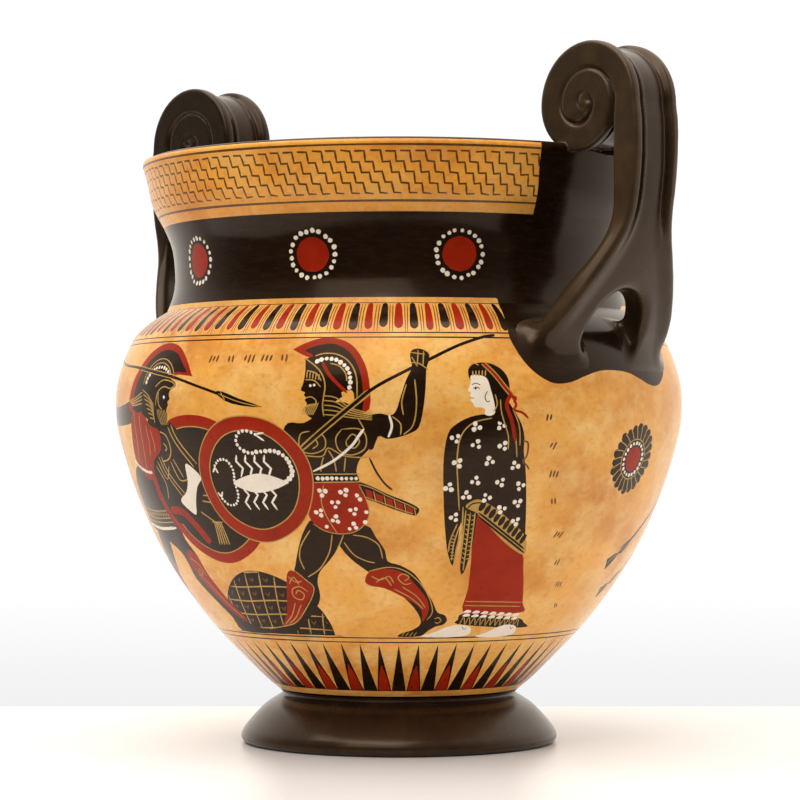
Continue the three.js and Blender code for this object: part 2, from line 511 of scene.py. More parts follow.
@dataclass
class Vessel:
    """The thrown bowl with its neck, rim, inside and turned foot, painted all over."""

    profile: Profile
    canvas: Canvas

    def rings(self) -> list[tuple[Paint, list[tuple[float, float]]]]:
        """The plain turned surfaces, each a paint and a run of (radius, height) that starts where the last ended."""
        p = self.profile
        lip_top = p.rim_radius - p.lip_round
        inside = smooth_curve(np.array([
            (p.rim_radius - 5.4, p.rim_height), (p.rim_radius - 6.6, p.rim_height - 2.4),
            (p.neck_radius + 5 - p.wall, p.band_foot_height), (p.neck_radius - p.wall, p.neck_height),
            (p.neck_foot_radius - p.wall + 1.4, p.neck_foot_height - 2), (p.belly_radius - p.wall, p.belly_height),
            (115 - p.wall, 105), (84, 64), (50, 37), (14, p.foot_height + p.wall + 0.4), (0, p.foot_height + p.wall),
        ]), 5)
        foot = smooth_curve(np.array([
            (p.waist_radius + 1, p.foot_height + 0.6), (p.waist_radius + 0.1, p.foot_height - 0.6),
            (p.waist_radius + 0.6, p.foot_height - 1.6), (54.8, 20), (60.8, 15.8), (p.foot_radius - 1.9, 7.4),
            (p.foot_radius, 3.6), (p.foot_radius - 0.5, 1.3), (p.foot_radius - 2.4, 0.0),
        ]), 5)
        under = [(57.5, 0.0), (56.4, 0.8), (50, 9), (38, p.foot_height - p.wall - 4), (0, p.foot_height - p.wall - 3)]
        return [
            (Paint.SLIP, [(lip_top, p.rim_height), *map(tuple, inside)]),
            (Paint.FOOT, [*map(tuple, foot), *under]),
        ]

    def cut_canvas(self) -> tuple[np.ndarray, np.ndarray, np.ndarray]:
        """Cuts the canvas into triangles along every painted edge.

        Returns:
            The points, the triangles and the paint number of each triangle.
        """
        (u0, u1), (v0, v1) = self.canvas.u_range, self.profile.v_range
        columns = np.linspace(u0, u1, COLUMNS + 1)
        rows = np.unique(np.r_[np.linspace(v0, v1, 76), self.profile.creases].round(6))
        grid = np.stack(np.meshgrid(columns, rows), -1).reshape(-1, 2)
        across, up = len(columns), len(rows)
        at = np.arange(across * up).reshape(up, across)
        walls = [at[:, 0], at[:, -1], at[0], at[-1]]
        walls += [at[np.argmin(np.abs(rows - c))] for c in self.profile.creases]
        edges = [np.c_[w[:-1], w[1:]] for w in walls]
        points, count = [grid], len(grid)
        for _, loop in self.canvas.shapes:
            index = np.arange(len(loop)) + count
            points.append(loop)
            edges.append(np.c_[index, np.roll(index, -1)])
            count += len(loop)
        flat = np.vstack(points)
        made = delaunay_2d_cdt([Vector(p) for p in flat.tolist()], np.vstack(edges).tolist(), [], 0, 1e-4, False)
        out = np.array([tuple(p) for p in made[0]])
        faces = np.array([f for f in made[2] if len(f) == 3])
        middle = out[faces].mean(axis=1)
        inside = (middle[:, 0] > u0) & (middle[:, 0] < u1) & (middle[:, 1] > v0) & (middle[:, 1] < v1)
        faces, middle = faces[inside], middle[inside]
        return out, faces, self.paint_of(middle)

    def paint_of(self, middle: np.ndarray) -> np.ndarray:
        """The paint number at some canvas points: that of the last shape brushed over each."""
        order = np.argsort(middle[:, 0])
        sorted_u = middle[order, 0]
        paint = np.full(len(middle), Paint.CLAY.value)
        for kind, loop in self.canvas.shapes:
            (ua, va), (ub, vb) = loop.min(axis=0), loop.max(axis=0)
            near = order[np.searchsorted(sorted_u, ua):np.searchsorted(sorted_u, ub)]
            near = near[(middle[near, 1] > va) & (middle[near, 1] < vb)]
            if len(near):
                paint[near[self.winding(middle[near], loop) != 0]] = kind.value
        return paint

    @staticmethod
    def winding(points: np.ndarray, loop: np.ndarray) -> np.ndarray:
        """How many times a closed line goes round each point."""
        a, b = loop, np.roll(loop, -1, axis=0)
        total = np.zeros(len(points), int)
        for start in range(0, len(points), 4096):
            p = points[start:start + 4096, None, :]
            up = (a[:, 1] <= p[..., 1]) & (b[:, 1] > p[..., 1])
            down = (a[:, 1] > p[..., 1]) & (b[:, 1] <= p[..., 1])
            side = (b[:, 0] - a[:, 0]) * (p[..., 1] - a[:, 1]) - (p[..., 0] - a[:, 0]) * (b[:, 1] - a[:, 1])
            total[start:start + 4096] = (up & (side > 0)).sum(1) - (down & (side < 0)).sum(1)
        return total

    def build(self, finishes: list[bpy.types.Material]) -> bpy.types.Object:
        """Rolls the canvas onto the profile and adds the inside, the lip and the foot.

        Args:
            finishes: One material for each paint, in the order of Paint.

        Returns:
            The vessel, one closed mesh.
        """
        flat, faces, paint = self.cut_canvas()
        turn = flat[:, 0] / ROUND_SCALE - math.pi / 2
        radius, height = self.profile.at(flat[:, 1])
        places = [np.c_[radius * np.cos(turn), radius * np.sin(turn), height]]
        v = flat[faces][..., 1]
        out, up = self.profile.slope(v, np.broadcast_to(v.mean(axis=1, keepdims=True), v.shape))
        around = turn[faces]
        normals = [np.stack([out * np.cos(around), out * np.sin(around), up], -1).reshape(-1, 3)]
        corners, sizes, paints = [faces.ravel()], [np.full(len(faces), 3)], [paint]
        base = len(flat)
        azimuth = np.linspace(-math.pi, math.pi, COLUMNS + 1)[:-1]
        for kind, run in self.rings():
            spots, loops, size, norms = self.turn_run(np.array(run), azimuth, base)
            places.append(spots)
            corners.append(loops)
            sizes.append(size)
            normals.append(norms)
            paints.append(np.full(len(size), kind.value))
            base += len(spots)
        mesh = bpy.data.meshes.new("krater_vessel")
        places, corners, sizes = np.vstack(places) * MM, np.concatenate(corners), np.concatenate(sizes)
        mesh.vertices.add(len(places))
        mesh.vertices.foreach_set("co", places.astype(np.float32).ravel())
        mesh.loops.add(len(corners))
        mesh.loops.foreach_set("vertex_index", corners.astype(np.int32))
        mesh.polygons.add(len(sizes))
        mesh.polygons.foreach_set("loop_start", np.r_[0, np.cumsum(sizes)[:-1]].astype(np.int32))
        mesh.polygons.foreach_set("material_index", np.concatenate(paints).astype(np.int32))
        mesh.update(calc_edges=True)
        for finish in finishes:
            mesh.materials.append(finish)
        kept = mesh.attributes.new("turned_normal", "FLOAT_VECTOR", "CORNER")
        kept.data.foreach_set("vector", np.vstack(normals).astype(np.float32).ravel())
        vessel = stand("krater_vessel", mesh)
        select_only(vessel)
        bpy.ops.object.mode_set(mode="EDIT")
        bpy.ops.mesh.select_all(action="SELECT")
        bpy.ops.mesh.remove_doubles(threshold=2e-6)
        bpy.ops.object.mode_set(mode="OBJECT")
        wanted = np.empty(len(mesh.loops) * 3, np.float32)
        mesh.attributes["turned_normal"].data.foreach_get("vector", wanted)
        mesh.attributes.remove(mesh.attributes["turned_normal"])
        mesh.shade_smooth()
        mesh.normals_split_custom_set(wanted.reshape(-1, 3))
        return vessel

    @staticmethod
    def turn_run(
        run: np.ndarray, azimuth: np.ndarray, base: int,
    ) -> tuple[np.ndarray, np.ndarray, np.ndarray, np.ndarray]:
        """Turns a run of (radius, height) about the axis.

        Args:
            run: The run, which goes the way that has the clay on its right.
            azimuth: The columns' angles.
            base: The number of the first point.

        Returns:
            The points, the corners of the faces, the faces' sizes and the corners' normals.
        """
        count = len(azimuth)
        spots = np.concatenate([
            np.c_[r * np.cos(azimuth), r * np.sin(azimuth), np.full(count, z)] for r, z in run
        ])
        loops, sizes, norms = [], [], []
        step = np.diff(run, axis=0)
        step /= np.maximum(np.hypot(*step.T), 1e-9)[:, None]
        ahead = np.vstack([step, step[-1:]])
        behind = np.vstack([step[:1], step])
        sharp = (ahead * behind).sum(axis=1) < math.cos(math.radians(38))
        mean = ahead + behind
        mean /= np.maximum(np.hypot(*mean.T), 1e-9)[:, None]
        column = np.arange(count)
        after = (column + 1) % count
        for row in range(len(run) - 1):
            d0 = ahead[row] if sharp[row] else mean[row]
            d1 = behind[row + 1] if sharp[row + 1] else mean[row + 1]
            low, high = base + row * count, base + (row + 1) * count
            quad = [(low + column, d0, azimuth[column]), (high + column, d1, azimuth[column]),
                    (high + after, d1, azimuth[after]), (low + after, d0, azimuth[after])]
            if run[row + 1][0] < 1e-6:
                quad = [quad[0], quad[1], quad[3]]
            quad = quad[::-1]
            loops.append(np.stack([q[0] for q in quad], -1).ravel())
            norms.append(np.stack([
                np.stack([d[1] * np.cos(a), d[1] * np.sin(a), np.full(count, -d[0])], -1) for _, d, a in quad
            ], 1).reshape(-1, 3))
            sizes.append(np.full(count, len(quad)))
        return spots, np.concatenate(loops), np.concatenate(sizes), np.vstack(norms)


def select_only(piece: bpy.types.Object) -> None:
    """Leaves one object selected and active."""
    bpy.ops.object.select_all(action="DESELECT")
    piece.select_set(True)
    bpy.context.view_layer.objects.active = piece


# ---- The handles ----


def distance_to_outline(points: np.ndarray, outline: np.ndarray) -> np.ndarray:
    """The signed distance from points to a closed outline, negative inside.

    Args:
        points: Where it is measured, one row each.
        outline: The outline's corners in order.

    Returns:
        One distance for each point.
    """
    nearest = np.full(len(points), np.inf)
    inside = np.zeros(len(points), bool)
    for a, b in zip(outline, np.roll(outline, -1, axis=0)):
        edge, to = b - a, points - a
        share = np.clip(to @ edge / max(edge @ edge, 1e-12), 0, 1)
        nearest = np.minimum(nearest, np.hypot(*(to - share[:, None] * edge).T))
        if a[1] != b[1]:
            spans = (a[1] <= points[:, 1]) != (b[1] <= points[:, 1])
            inside ^= spans & (points[:, 0] < a[0] + (points[:, 1] - a[1]) * edge[0] / edge[1])
    return np.where(inside, -nearest, nearest)


def smooth_step(value: np.ndarray, low: float, high: float) -> np.ndarray:
    """Goes from nought to one between two values, without corners."""
    t = np.clip((value - low) / (high - low), 0, 1)
    return t * t * (3 - 2 * t)


def soft_min(a: np.ndarray, b: np.ndarray, reach: np.ndarray | float) -> np.ndarray:
    """The smaller of two distances, blended where they are within reach of each other."""
    h = np.clip(0.5 + 0.5 * (b - a) / reach, 0, 1)
    return b + (a - b) * h - reach * h * (1 - h)


@dataclass
class Handle:
    """A strap handle: two spread legs, a channelled strap and a scroll that rolls over the rim."""

    profile: Profile
    top: float = 300.0
    half_width: float = 14.2
    strap_thickness: float = 11.6
    scroll_radius: float = 25.8
    scroll_turns: int = 5
    scroll_middle: float = 123.6
    bow: float = 1.2
    flange_width: float = 5.0
    channel_depth: float = 2.3
    lean: float = math.radians(33)
    outer_start: float = 262.0
    outer_radius: float = 180.0
    inner_start: float = 232.0
    inner_radius: float = 46.0
    spread: float = math.radians(30)
    spread_start: float = 235.0
    spread_radius: float = 37.0
    toe_reach: tuple[float, float] = (39.0, 45.0)
    arch_half_width: float = 17.2
    arch_spring: float = 178.0
    arch_top: float = 196.5
    root_height: float = 154.0
    toe_height: float = 165.0
    toe_round: float = 12.0
    sole_round: float = 11.0
    arch_round: float = 4.0
    spacing: float = 0.7
    innermost: float = 93.0
    half_grid: float = 60.0
    wall_near: float = 80.0
    wall_far: float = 166.0

    def __post_init__(self) -> None:
        """Works out the strap's two faces and the scroll's half-circles."""
        self.outer = self.scroll_middle + self.scroll_radius
        self.inner = self.outer - self.strap_thickness
        self.height = self.top - self.scroll_radius
        self.turns = []
        edge = self.outer
        for k in range(self.scroll_turns):
            radius = self.scroll_radius - k * self.strap_thickness / 2
            side = 1 if k % 2 == 0 else -1
            self.turns.append((edge - side * radius, radius, k * math.pi))
            edge -= 2 * side * radius

    def leaning(self, radial: float, start: float, radius: float, angle: float, sign: float) -> np.ndarray:
        """A line that leaves the upright on an arc and then runs on straight, down to the root."""
        a = np.linspace(0, angle, 13)
        turned = np.c_[radial - sign * radius * (1 - np.cos(a)), start - radius * np.sin(a)]
        x, z = turned[-1]
        return np.vstack([turned, [(x - sign * (z - self.root_height) * math.tan(angle), self.root_height)]])

    def half_circle(self, turn: int, share: float = 1.0) -> np.ndarray:
        """The points of one of the scroll's half-circles, or of the first share of it."""
        middle, radius, start = self.turns[turn]
        a = start + np.linspace(0, math.pi * share, 48)
        return np.c_[middle + radius * np.cos(a), self.height + radius * np.sin(a)]

    def side_outline(self, grown: float) -> np.ndarray:
        """The strap and scroll seen from the side, with the inner face grown inwards."""
        inner = self.leaning(self.inner - grown, self.inner_start, self.inner_radius, self.lean, 1)
        under = self.half_circle(1)
        under = under[under[:, 0] < self.inner - grown - 0.4]
        return np.vstack([
            self.half_circle(0), under, [(self.inner - grown, under[-1, 1])], inner,
            [(self.outer + self.bow, self.root_height), (self.outer + self.bow, self.outer_start),
             (self.outer + self.bow * 0.8, self.height - 7), (self.outer + self.bow * 0.3, self.height - 3)],
        ])

    def groove(self) -> np.ndarray:
        """The line that the groove follows on the side of the scroll, from the strap to the eye."""
        into_gap = self.half_circle(1)[-9:-1] - (0.3, 0.0)
        return np.vstack([into_gap, *[self.half_circle(k) for k in range(2, self.scroll_turns)]])

    def eye(self, side: np.ndarray) -> np.ndarray:
        """How deep the scroll's eye is pressed into its side: a curl round a small pit."""
        dx, dz = side[:, 0] - self.scroll_middle + 1.6, side[:, 1] - self.height - 0.9
        reach, turn = np.hypot(dx, dz), np.arctan2(dz, dx)
        curl = np.exp(-(((reach - 3.2) / 0.65) ** 2)) * (0.5 - 0.5 * np.cos(turn)) ** 1.5
        pit = np.exp(-((np.hypot(dx - 2.6, dz - 0.2) / 1.2) ** 2))
        dent = np.exp(-((np.hypot(dx + 1.6, dz + 7.4) / 2.4) ** 2))
        return 0.9 * curl + 1.5 * pit + 0.8 * dent - 0.3 * np.exp(-((reach / 4.5) ** 2))

    def carving(self, side: np.ndarray) -> np.ndarray:
        """How deep the scroll's side is carved, by its groove and its eye.

        Args:
            side: Points of the side view.

        Returns:
            The depth at each.
        """
        line = self.groove()
        along = np.arange(len(line)) / (len(line) - 1)
        gap, share = np.full(len(side), np.inf), np.zeros(len(side))
        for k in range(len(line) - 1):
            edge, to = line[k + 1] - line[k], side - line[k]
            t = np.clip(to @ edge / max(edge @ edge, 1e-12), 0, 1)
            away = np.hypot(*(to - t[:, None] * edge).T)
            share = np.where(away < gap, along[k], share)
            gap = np.minimum(gap, away)
        mouth, turned_in = np.exp(-((share / 0.12) ** 2)), np.exp(-(((share - 0.6) / 0.1) ** 2))
        wide = 0.5 + 0.5 * mouth + 0.45 * turned_in
        deep = (1.0 + 2.4 * mouth + 1.7 * turned_in) * (1 - smooth_step(share, 0.68, 0.78))
        return deep * np.exp(-((gap / wide) ** 2)) + self.eye(side)

    def front_outlines(self) -> tuple[np.ndarray, np.ndarray]:
        """The strap and its two legs seen from the front, and the arch between the legs."""
        right = self.leaning(self.half_width, self.spread_start, self.spread_radius, self.spread, -1)
        over = self.top + 12
        front_outline = np.vstack([
            [(self.half_width, over)], right, (right * (-1, 1))[::-1], [(-self.half_width, over)],
        ])
        turn = np.linspace(0, math.pi, 25)
        arch = np.vstack([
            [(self.arch_half_width, self.root_height - 20)],
            np.c_[self.arch_half_width * np.cos(turn),
                  self.arch_spring + (self.arch_top - self.arch_spring) * np.sin(turn)],
            [(-self.arch_half_width, self.root_height - 20)],
        ])
        return front_outline, arch

    def wall(self, rho: np.ndarray, z: np.ndarray) -> np.ndarray:
        """Measures the grid's distance from the vessel's wall above the belly.

        Args:
            rho: How far the grid's upright lines stand from the vessel's axis.
            z: The heights of its layers.

        Returns:
            The signed distances, below 0 in the clay.
        """
        step, p = self.spacing, self.profile
        rr = np.arange(self.wall_near, self.wall_far, step)
        zz = np.arange(z[0] - 2, z[-1] + 2, step)
        outside = p.outside[p.outside[:, 1] > 100]
        inside = np.array([
            (p.rim_radius - 5.4, p.rim_height), (p.rim_radius - 6.6, p.rim_height - 2.4),
            (98.5, p.band_foot_height), (93.5, p.neck_height), (98.5, 189), (119.6, p.belly_height), (108.5, 105),
        ])
        wall = distance_to_outline(lattice(rr, zz), np.vstack([outside, inside])).reshape(len(rr), len(zz))
        shape = (*rho.shape[:2], len(z))
        ri = np.clip((np.broadcast_to(rho, shape) - rr[0]) / step, 0, len(rr) - 1.001)
        zi = np.clip((np.broadcast_to(z, shape) - zz[0]) / step, 0, len(zz) - 1.001)
        i, k = ri.astype(int), zi.astype(int)
        out, up = ri - i, zi - k
        return (
            wall[i, k] * (1 - out) * (1 - up) + wall[i + 1, k] * out * (1 - up)
            + wall[i, k + 1] * (1 - out) * up + wall[i + 1, k + 1] * out * up
        )

    def solid(self) -> tuple[np.ndarray, np.ndarray, np.ndarray]:
        """Measures the handle on a grid.

        Returns:
            The signed distance, the share of slip left thick in the channel, and the grid's first corner.
        """
        step, p = self.spacing, self.profile
        x = np.arange(self.innermost, self.outer + 3, step)
        y = np.arange(-self.half_grid, self.half_grid + step, step)
        z = np.arange(self.root_height + 1, self.top + 3, step)
        start = np.array([x[0], y[0], z[0]])
        side, shape = lattice(x, z), (len(x), 1, len(z))
        body = distance_to_outline(side, self.side_outline(0)).reshape(shape)
        open_in = distance_to_outline(side, self.side_outline(3)).reshape(shape)
        carved = self.carving(side).reshape(shape)
        front, shape = lattice(y, z), (1, len(y), len(z))
        outline, opening = (distance_to_outline(front, edge).reshape(shape) for edge in self.front_outlines())

        gx, gy = np.meshgrid(x, y, indexing="ij")
        rho = np.hypot(gx, gy)[:, :, None]
        face = self.leaning(self.outer + self.bow + 0.6, self.outer_start, self.outer_radius, self.lean, 1)
        limit = np.interp(z, face[::-1, 1], face[::-1, 0])[None, None, :]
        tilt = np.interp(z, [170, 262], [math.cos(self.lean), 1.0])[None, None, :]
        leg = (rho - limit) * tilt
        e = -outline
        z3 = z[None, None, :]
        width = self.flange_width
        dip = (
            self.channel_depth * smooth_step(e, width - 0.9, width + 0.9)
            - 0.8 * np.exp(-(((e - width - 3.0) / 0.75) ** 2)) + 0.35 * np.exp(-(((e - width - 1.2) / 0.6) ** 2))
        )
        below = smooth_step(-z3, -238, -206)
        soft = 2.1 * smooth_step(e, 2.0, 12.0)
        dip = dip * (1 - below) + soft * below
        faces = np.maximum(np.maximum(open_in, leg) + dip, body)
        faces = np.maximum(faces, leg)
        rounding = 2.0 + 3.0 * below
        block = -soft_min(-faces, -(outline + carved), rounding)
        block = -soft_min(-block, z3 - self.toe_height, self.sole_round)
        reach = np.where(y < 0, self.toe_reach[0], self.toe_reach[1]) - np.abs(y)
        block = -soft_min(-block, reach[None, :, None], self.toe_round)
        block = -soft_min(-block, opening, self.arch_round)

        skin = self.wall(rho, z)
        fillet = np.interp(z, [164, 180, 192, 202, 235, 244, 250], [6.5, 7.0, 6.5, 8.5, 5.0, 1.2, 0.5])[None, None, :]
        sunk = skin + 0.02 + 2.6 * smooth_step(block, fillet * 0.8, fillet * 1.5 + 2)
        joined = soft_min(block, sunk, fillet)
        hollow = np.maximum(rho - (p.radius_at(z)[None, None, :] - 1.6), z3 - 252)
        joined = np.maximum(joined, -hollow)
        glossy = smooth_step(e, width - 0.7, width + 0.5) * smooth_step(z3, 200, 236)
        near_face = smooth_step(-(np.maximum(open_in, leg)), -7.5, -4.5)
        web = 0.6 * smooth_step(e, width - 2, width + 2) * smooth_step(-z3, -240, -225) * near_face
        black = np.maximum(np.maximum(glossy * near_face, web), smooth_step(-z3, -186, -170))
        return joined, np.broadcast_to(black, joined.shape), start

    def build(self, name: str, finish: bpy.types.Material, turned: bool) -> bpy.types.Object:
        """Skins the grid.

        Args:
            name: The piece's name.
            finish: The handle's material, which reads where the slip is thick.
            turned: Whether this is the handle on -X.

        Returns:
            The handle, one closed mesh.
        """
        distance, black, start = self.solid()
        grid = openvdb.FloatGrid(8.0)
        grid.copyFromArray(np.ascontiguousarray(distance, np.float32))
        spots, quads = grid.convertToQuads(isovalue=0.0)
        spots = np.asarray(spots, float)
        slopes = np.stack([sample(g, spots) for g in np.gradient(distance)], -1)
        slopes /= np.maximum(np.linalg.norm(slopes, axis=1, keepdims=True), 1e-9)
        thick = sample(np.ascontiguousarray(black), spots)
        places = start + spots * self.spacing
        quads = np.asarray(quads)
        a, b, c = (places[quads[:, k]] for k in (0, 1, 2))
        if ((np.cross(b - a, c - a) * slopes[quads[:, 0]]).sum(1)).mean() < 0:
            quads = quads[:, ::-1]
        if turned:
            places, slopes = places * (-1, -1, 1), slopes * (-1, -1, 1)
        mesh = bpy.data.meshes.new(name)
        mesh.from_pydata((places * MM).tolist(), [], quads.tolist())
        mesh.update()
        mask = mesh.attributes.new("thick_slip", "FLOAT", "POINT")
        mask.data.foreach_set("value", thick.astype(np.float32))
        mesh.materials.append(finish)
        mesh.shade_smooth()
        mesh.normals_split_custom_set_from_vertices(slopes.tolist())
        return stand(name, mesh)


def lattice(across: np.ndarray, up: np.ndarray) -> np.ndarray:
    """Every point of a flat grid, one row for each."""
    return np.stack(np.meshgrid(across, up, indexing="ij"), -1).reshape(-1, 2)


def sample(grid: np.ndarray, spots: np.ndarray) -> np.ndarray:
    """Reads a grid between its points.

    Args:
        grid: The values.
        spots: Where they are wanted, in steps of the grid.

    Returns:
        One value for each spot.
    """
    at = np.clip(spots, 0, np.array(grid.shape) - 1.001)
    low = at.astype(int)
    part = at - low
    total = np.zeros(len(spots))
    for corner in np.ndindex(2, 2, 2):
        share = np.prod(np.where(corner, part, 1 - part), axis=1)
        i, j, k = (low + corner).T
        total += share * grid[i, j, k]
    return total


# ---- The painted frieze ----


def inside_runs(line: np.ndarray, outline: np.ndarray, margin: float = 0.3) -> list[np.ndarray]:
    """The stretches of a line that lie inside an outline, a little in from its edge."""
    line = split_long(np.asarray(line, float), 0.8, closed=False)
    held = distance_to_outline(line, outline) < -margin
    cuts = np.flatnonzero(np.diff(held.astype(int))) + 1
    return [part for part, keep in zip(np.split(line, cuts), [held[i] for i in np.r_[0, cuts]])
            if keep and len(part) > 2]


@dataclass
class Frieze:
    """Two fighting warriors and a cloaked woman on the front, and plain cloaked figures on the back."""

    canvas: Canvas
    needle: float = 0.5

    def incise(self, *lines: list[tuple[float, float]], width: float = 0.0) -> None:
        """Scratches fine lines through the slip."""
        for line in lines:
            self.canvas.line(Paint.INCISED, line, width or self.needle, steps=4, ends=(0.6, 0.5))

    def dots(self, spots: list[tuple[float, float]], radius: float = 0.95) -> None:
        """Dabs cream dots, each a little different."""
        for u, v in spots:
            self.canvas.dot(Paint.CREAM, u, v, radius * self.canvas.hand.uniform(0.88, 1.12), sides=9, loose=0.1)

    def triples(self, centres: list[tuple[float, float]], spread: float = 1.35, radius: float = 0.95) -> None:
        """Dabs cream dots in threes."""
        for u, v in centres:
            turn = self.canvas.hand.uniform(0, 2.1)
            self.dots([
                (u + spread * math.cos(turn + k * 2.094), v + spread * math.sin(turn + k * 2.094)) for k in range(3)
            ], radius)

    def round_patch(self, paint: Paint, u: float, v: float, radius: float) -> None:
        """Fills a large round that comes out round on the pot."""
        turn = np.linspace(0, 2 * math.pi, 72, endpoint=False)
        wobble = radius * (1 + 0.006 * np.sin(3 * turn + 1) + 0.005 * np.sin(7 * turn))
        self.canvas.fill(paint, np.c_[u + wobble * np.cos(turn) * self.canvas.widening(v), v + wobble * np.sin(turn)])

    def arc_line(
        self, paint: Paint, u: float, v: float, radius: float, span: tuple[float, float], width: float,
    ) -> None:
        """Draws part of a circle, between two angles in degrees."""
        turn = np.radians(np.linspace(*span, 24))
        self.canvas.line(
            paint, np.c_[u + radius * np.cos(turn) * self.canvas.widening(v), v + radius * np.sin(turn)], width,
            steps=0, ends=(0.7, 0.6),
        )

    def mound(self) -> None:
        """A dark boulder under a net of fine lines, with a tick in each mesh."""
        outline = smooth_curve(np.array([
            (-20, 4.2), (-20, 4.2), (-19, 10), (-13, 22), (-6, 29), (2, 34.5), (10, 37.5), (18, 38), (26, 36),
            (32, 33), (38, 29), (43, 23), (47, 17), (49.5, 10), (50, 4.2), (50, 4.2),
        ]), 4, closed=True)
        self.canvas.fill(Paint.SLIP, outline)
        lines = [[(u, 3), (u + 3.0, 16), (u + 9.5, 40)] for u in np.arange(-24, 52, 8.4)]
        lines += [[(-24, v + 1), (0, v - 0.4), (24, v + 0.6), (54, v - 0.5)] for v in np.arange(7.5, 38, 7.4)]
        for line in lines:
            for part in inside_runs(smooth_curve(np.array(line), 8), outline):
                self.canvas.line(Paint.INCISED, part, 0.75, steps=0)
        for row, v in enumerate(np.arange(7.5, 38, 7.4)):
            for u in np.arange(-24, 52, 8.4):
                a, b = u + 4.8 + row * 2.1, v + 3.6
                for part in inside_runs([(a - 1.2, b + 1.0), (a, b - 0.7), (a + 1.6, b + 1.3)], outline, 1.4):
                    self.canvas.line(Paint.WASH, part, 0.8, steps=0)

    def far_shield(self) -> None:
        """The left warrior's round shield, its hollow side turned this way."""
        self.round_patch(Paint.RED, 2.5, 75, 33.3)
        self.round_patch(Paint.INCISED, 2.5, 75, 28.6)
        self.round_patch(Paint.SLIP, 2.5, 75, 28.1)
        self.incise([(-6, 72), (4, 70), (20, 70)], [(-6, 74), (4, 73), (20, 73.4)], width=0.6)
        for k in range(5):
            self.incise([(3 + k * 0.9, 61), (2.4 + k * 1.25, 55), (1.6 + k * 1.5, 50.5)], width=0.65)
        self.incise([(-4, 66), (2, 62), (5, 60)], [(1.5, 61), (8, 61)], width=0.6)

    def left_warrior(self) -> None:
        """A helmeted warrior facing right, in a red cloak, poising a spear."""
        c = self.canvas
        c.fill(Paint.SLIP, [(-50, 58), (-62, 46), (-72, 34), (-78, 22), (-84, 10), (-94, 4.4), (-76, 4.4), (-70, 16),
                            (-60, 30), (-46, 44), (-40, 56)], 3)
        c.fill(Paint.RED, [(-66, 42), (-73, 32), (-79, 18), (-75, 12), (-68, 20), (-60, 34)], 3)
        c.fill(Paint.SLIP, [(-52, 58), (-44, 52), (-34, 46), (-32, 40), (-33, 32), (-26, 21), (-20, 12), (-19, 4.3),
                            (10, 4.3), (4, 6.5), (-8, 10), (-14, 20), (-18, 34), (-19, 44), (-23, 52), (-26, 60)], 3)
        c.fill(Paint.RED, [(-28, 45.5), (-23, 47), (-19, 43), (-18, 35), (-13, 22), (-7, 12), (-10, 10.5), (-17, 16),
                           (-24, 26), (-29.5, 36)], 3)
        self.incise([(-27, 43), (-22, 40), (-20, 34)], [(-27, 35), (-22, 30), (-15, 19), (-9, 12.5)],
                    [(-24, 38), (-22.5, 36), (-24, 34.4), (-25.5, 36), (-24.6, 37)])
        kilt = [(-34, 84), (-46, 86), (-55, 80), (-60, 68), (-59, 57), (-44, 55.5), (-27, 57), (-26, 70), (-30, 80)]
        c.fill(Paint.SLIP, kilt, 3)
        c.line(Paint.CREAM, [(-60, 58.6), (-44, 56.8), (-27, 57.6)], 1.5, 6)
        for u in np.arange(-58, -28, 1.5):
            c.line(Paint.WASH, [(u, 57.4), (u + 1.0, 58.6)], 0.3, 0)
        for v in (60.2, 62.2, 65.6):
            self.incise([(-59.5, v + 1), (-44, v - 0.5), (-27, v)], width=0.55)
        for u in np.arange(-57, -29, 2.6):
            self.incise([(u, 64.6), (u + 0.9, 63.0), (u + 1.8, 64.4)], width=0.5)
        torso = [(-22, 110), (-14, 106), (-8, 104), (-2, 97), (3, 88), (3, 78), (-3, 66), (-10, 60), (-22, 60),
                 (-30, 64), (-33, 78), (-29, 90), (-27, 100)]
        c.fill(Paint.SLIP, torso, 3)
        c.line(Paint.RED, [(-31, 82), (-30, 70), (-25, 60), (-18, 54)], 3.8, 6, ends=(0.7, 0.6))
        c.line(Paint.RED, [(-25, 66), (-16, 65), (-9, 58), (-4.5, 51)], 3.8, 6, ends=(0.5, 0.6))
        c.fill(Paint.SLIP, [(-34, 115), (-48, 113), (-62, 112), (-70, 114), (-71, 124), (-70, 132), (-75, 132.5),
                            (-77, 124), (-76, 108), (-66, 104), (-50, 104), (-38, 106)], 3)
        cloak = [(-36, 113), (-29, 110.5), (-24, 104), (-17.5, 101.5), (-19, 93), (-27, 88), (-31, 80), (-39, 81),
                 (-46, 89), (-43, 99), (-40, 108)]
        c.fill(Paint.RED, cloak, 3)
        for line in ([(-37, 111), (-38, 98), (-42, 88)], [(-32, 109), (-33, 96), (-36, 84)],
                     [(-27, 104), (-27, 96), (-29, 90)], [(-24, 102), (-23, 96), (-24, 92)]):
            c.line(Paint.INCISED, line, 0.4, 5)
        self.dots([(-47 + k * 1.5, 87.5 - 0.95 * k + 0.05 * k * k) for k in range(11)], 0.85)
        self.incise([(-17, 101), (-13, 99), (-12, 93), (-15, 89), (-20, 88)], [(-16, 96), (-14.5, 94), (-16, 92.5)],
                    [(-9, 104), (-6, 97), (2, 87)], [(-11, 103), (-8, 96), (0, 85.5)], width=0.65)
        self.incise(
            [(-22, 90), (-19, 82), (-12, 72)], [(-20, 90), (-17, 82), (-9.5, 73)], [(-12, 89), (-8, 81)], [(-14, 88),
             (-11, 80), (-6, 80)], [(-26, 86), (-22, 78), (-24, 71)], [(-24, 88), (-20, 80), (-16, 86)], width=0.6,
        )
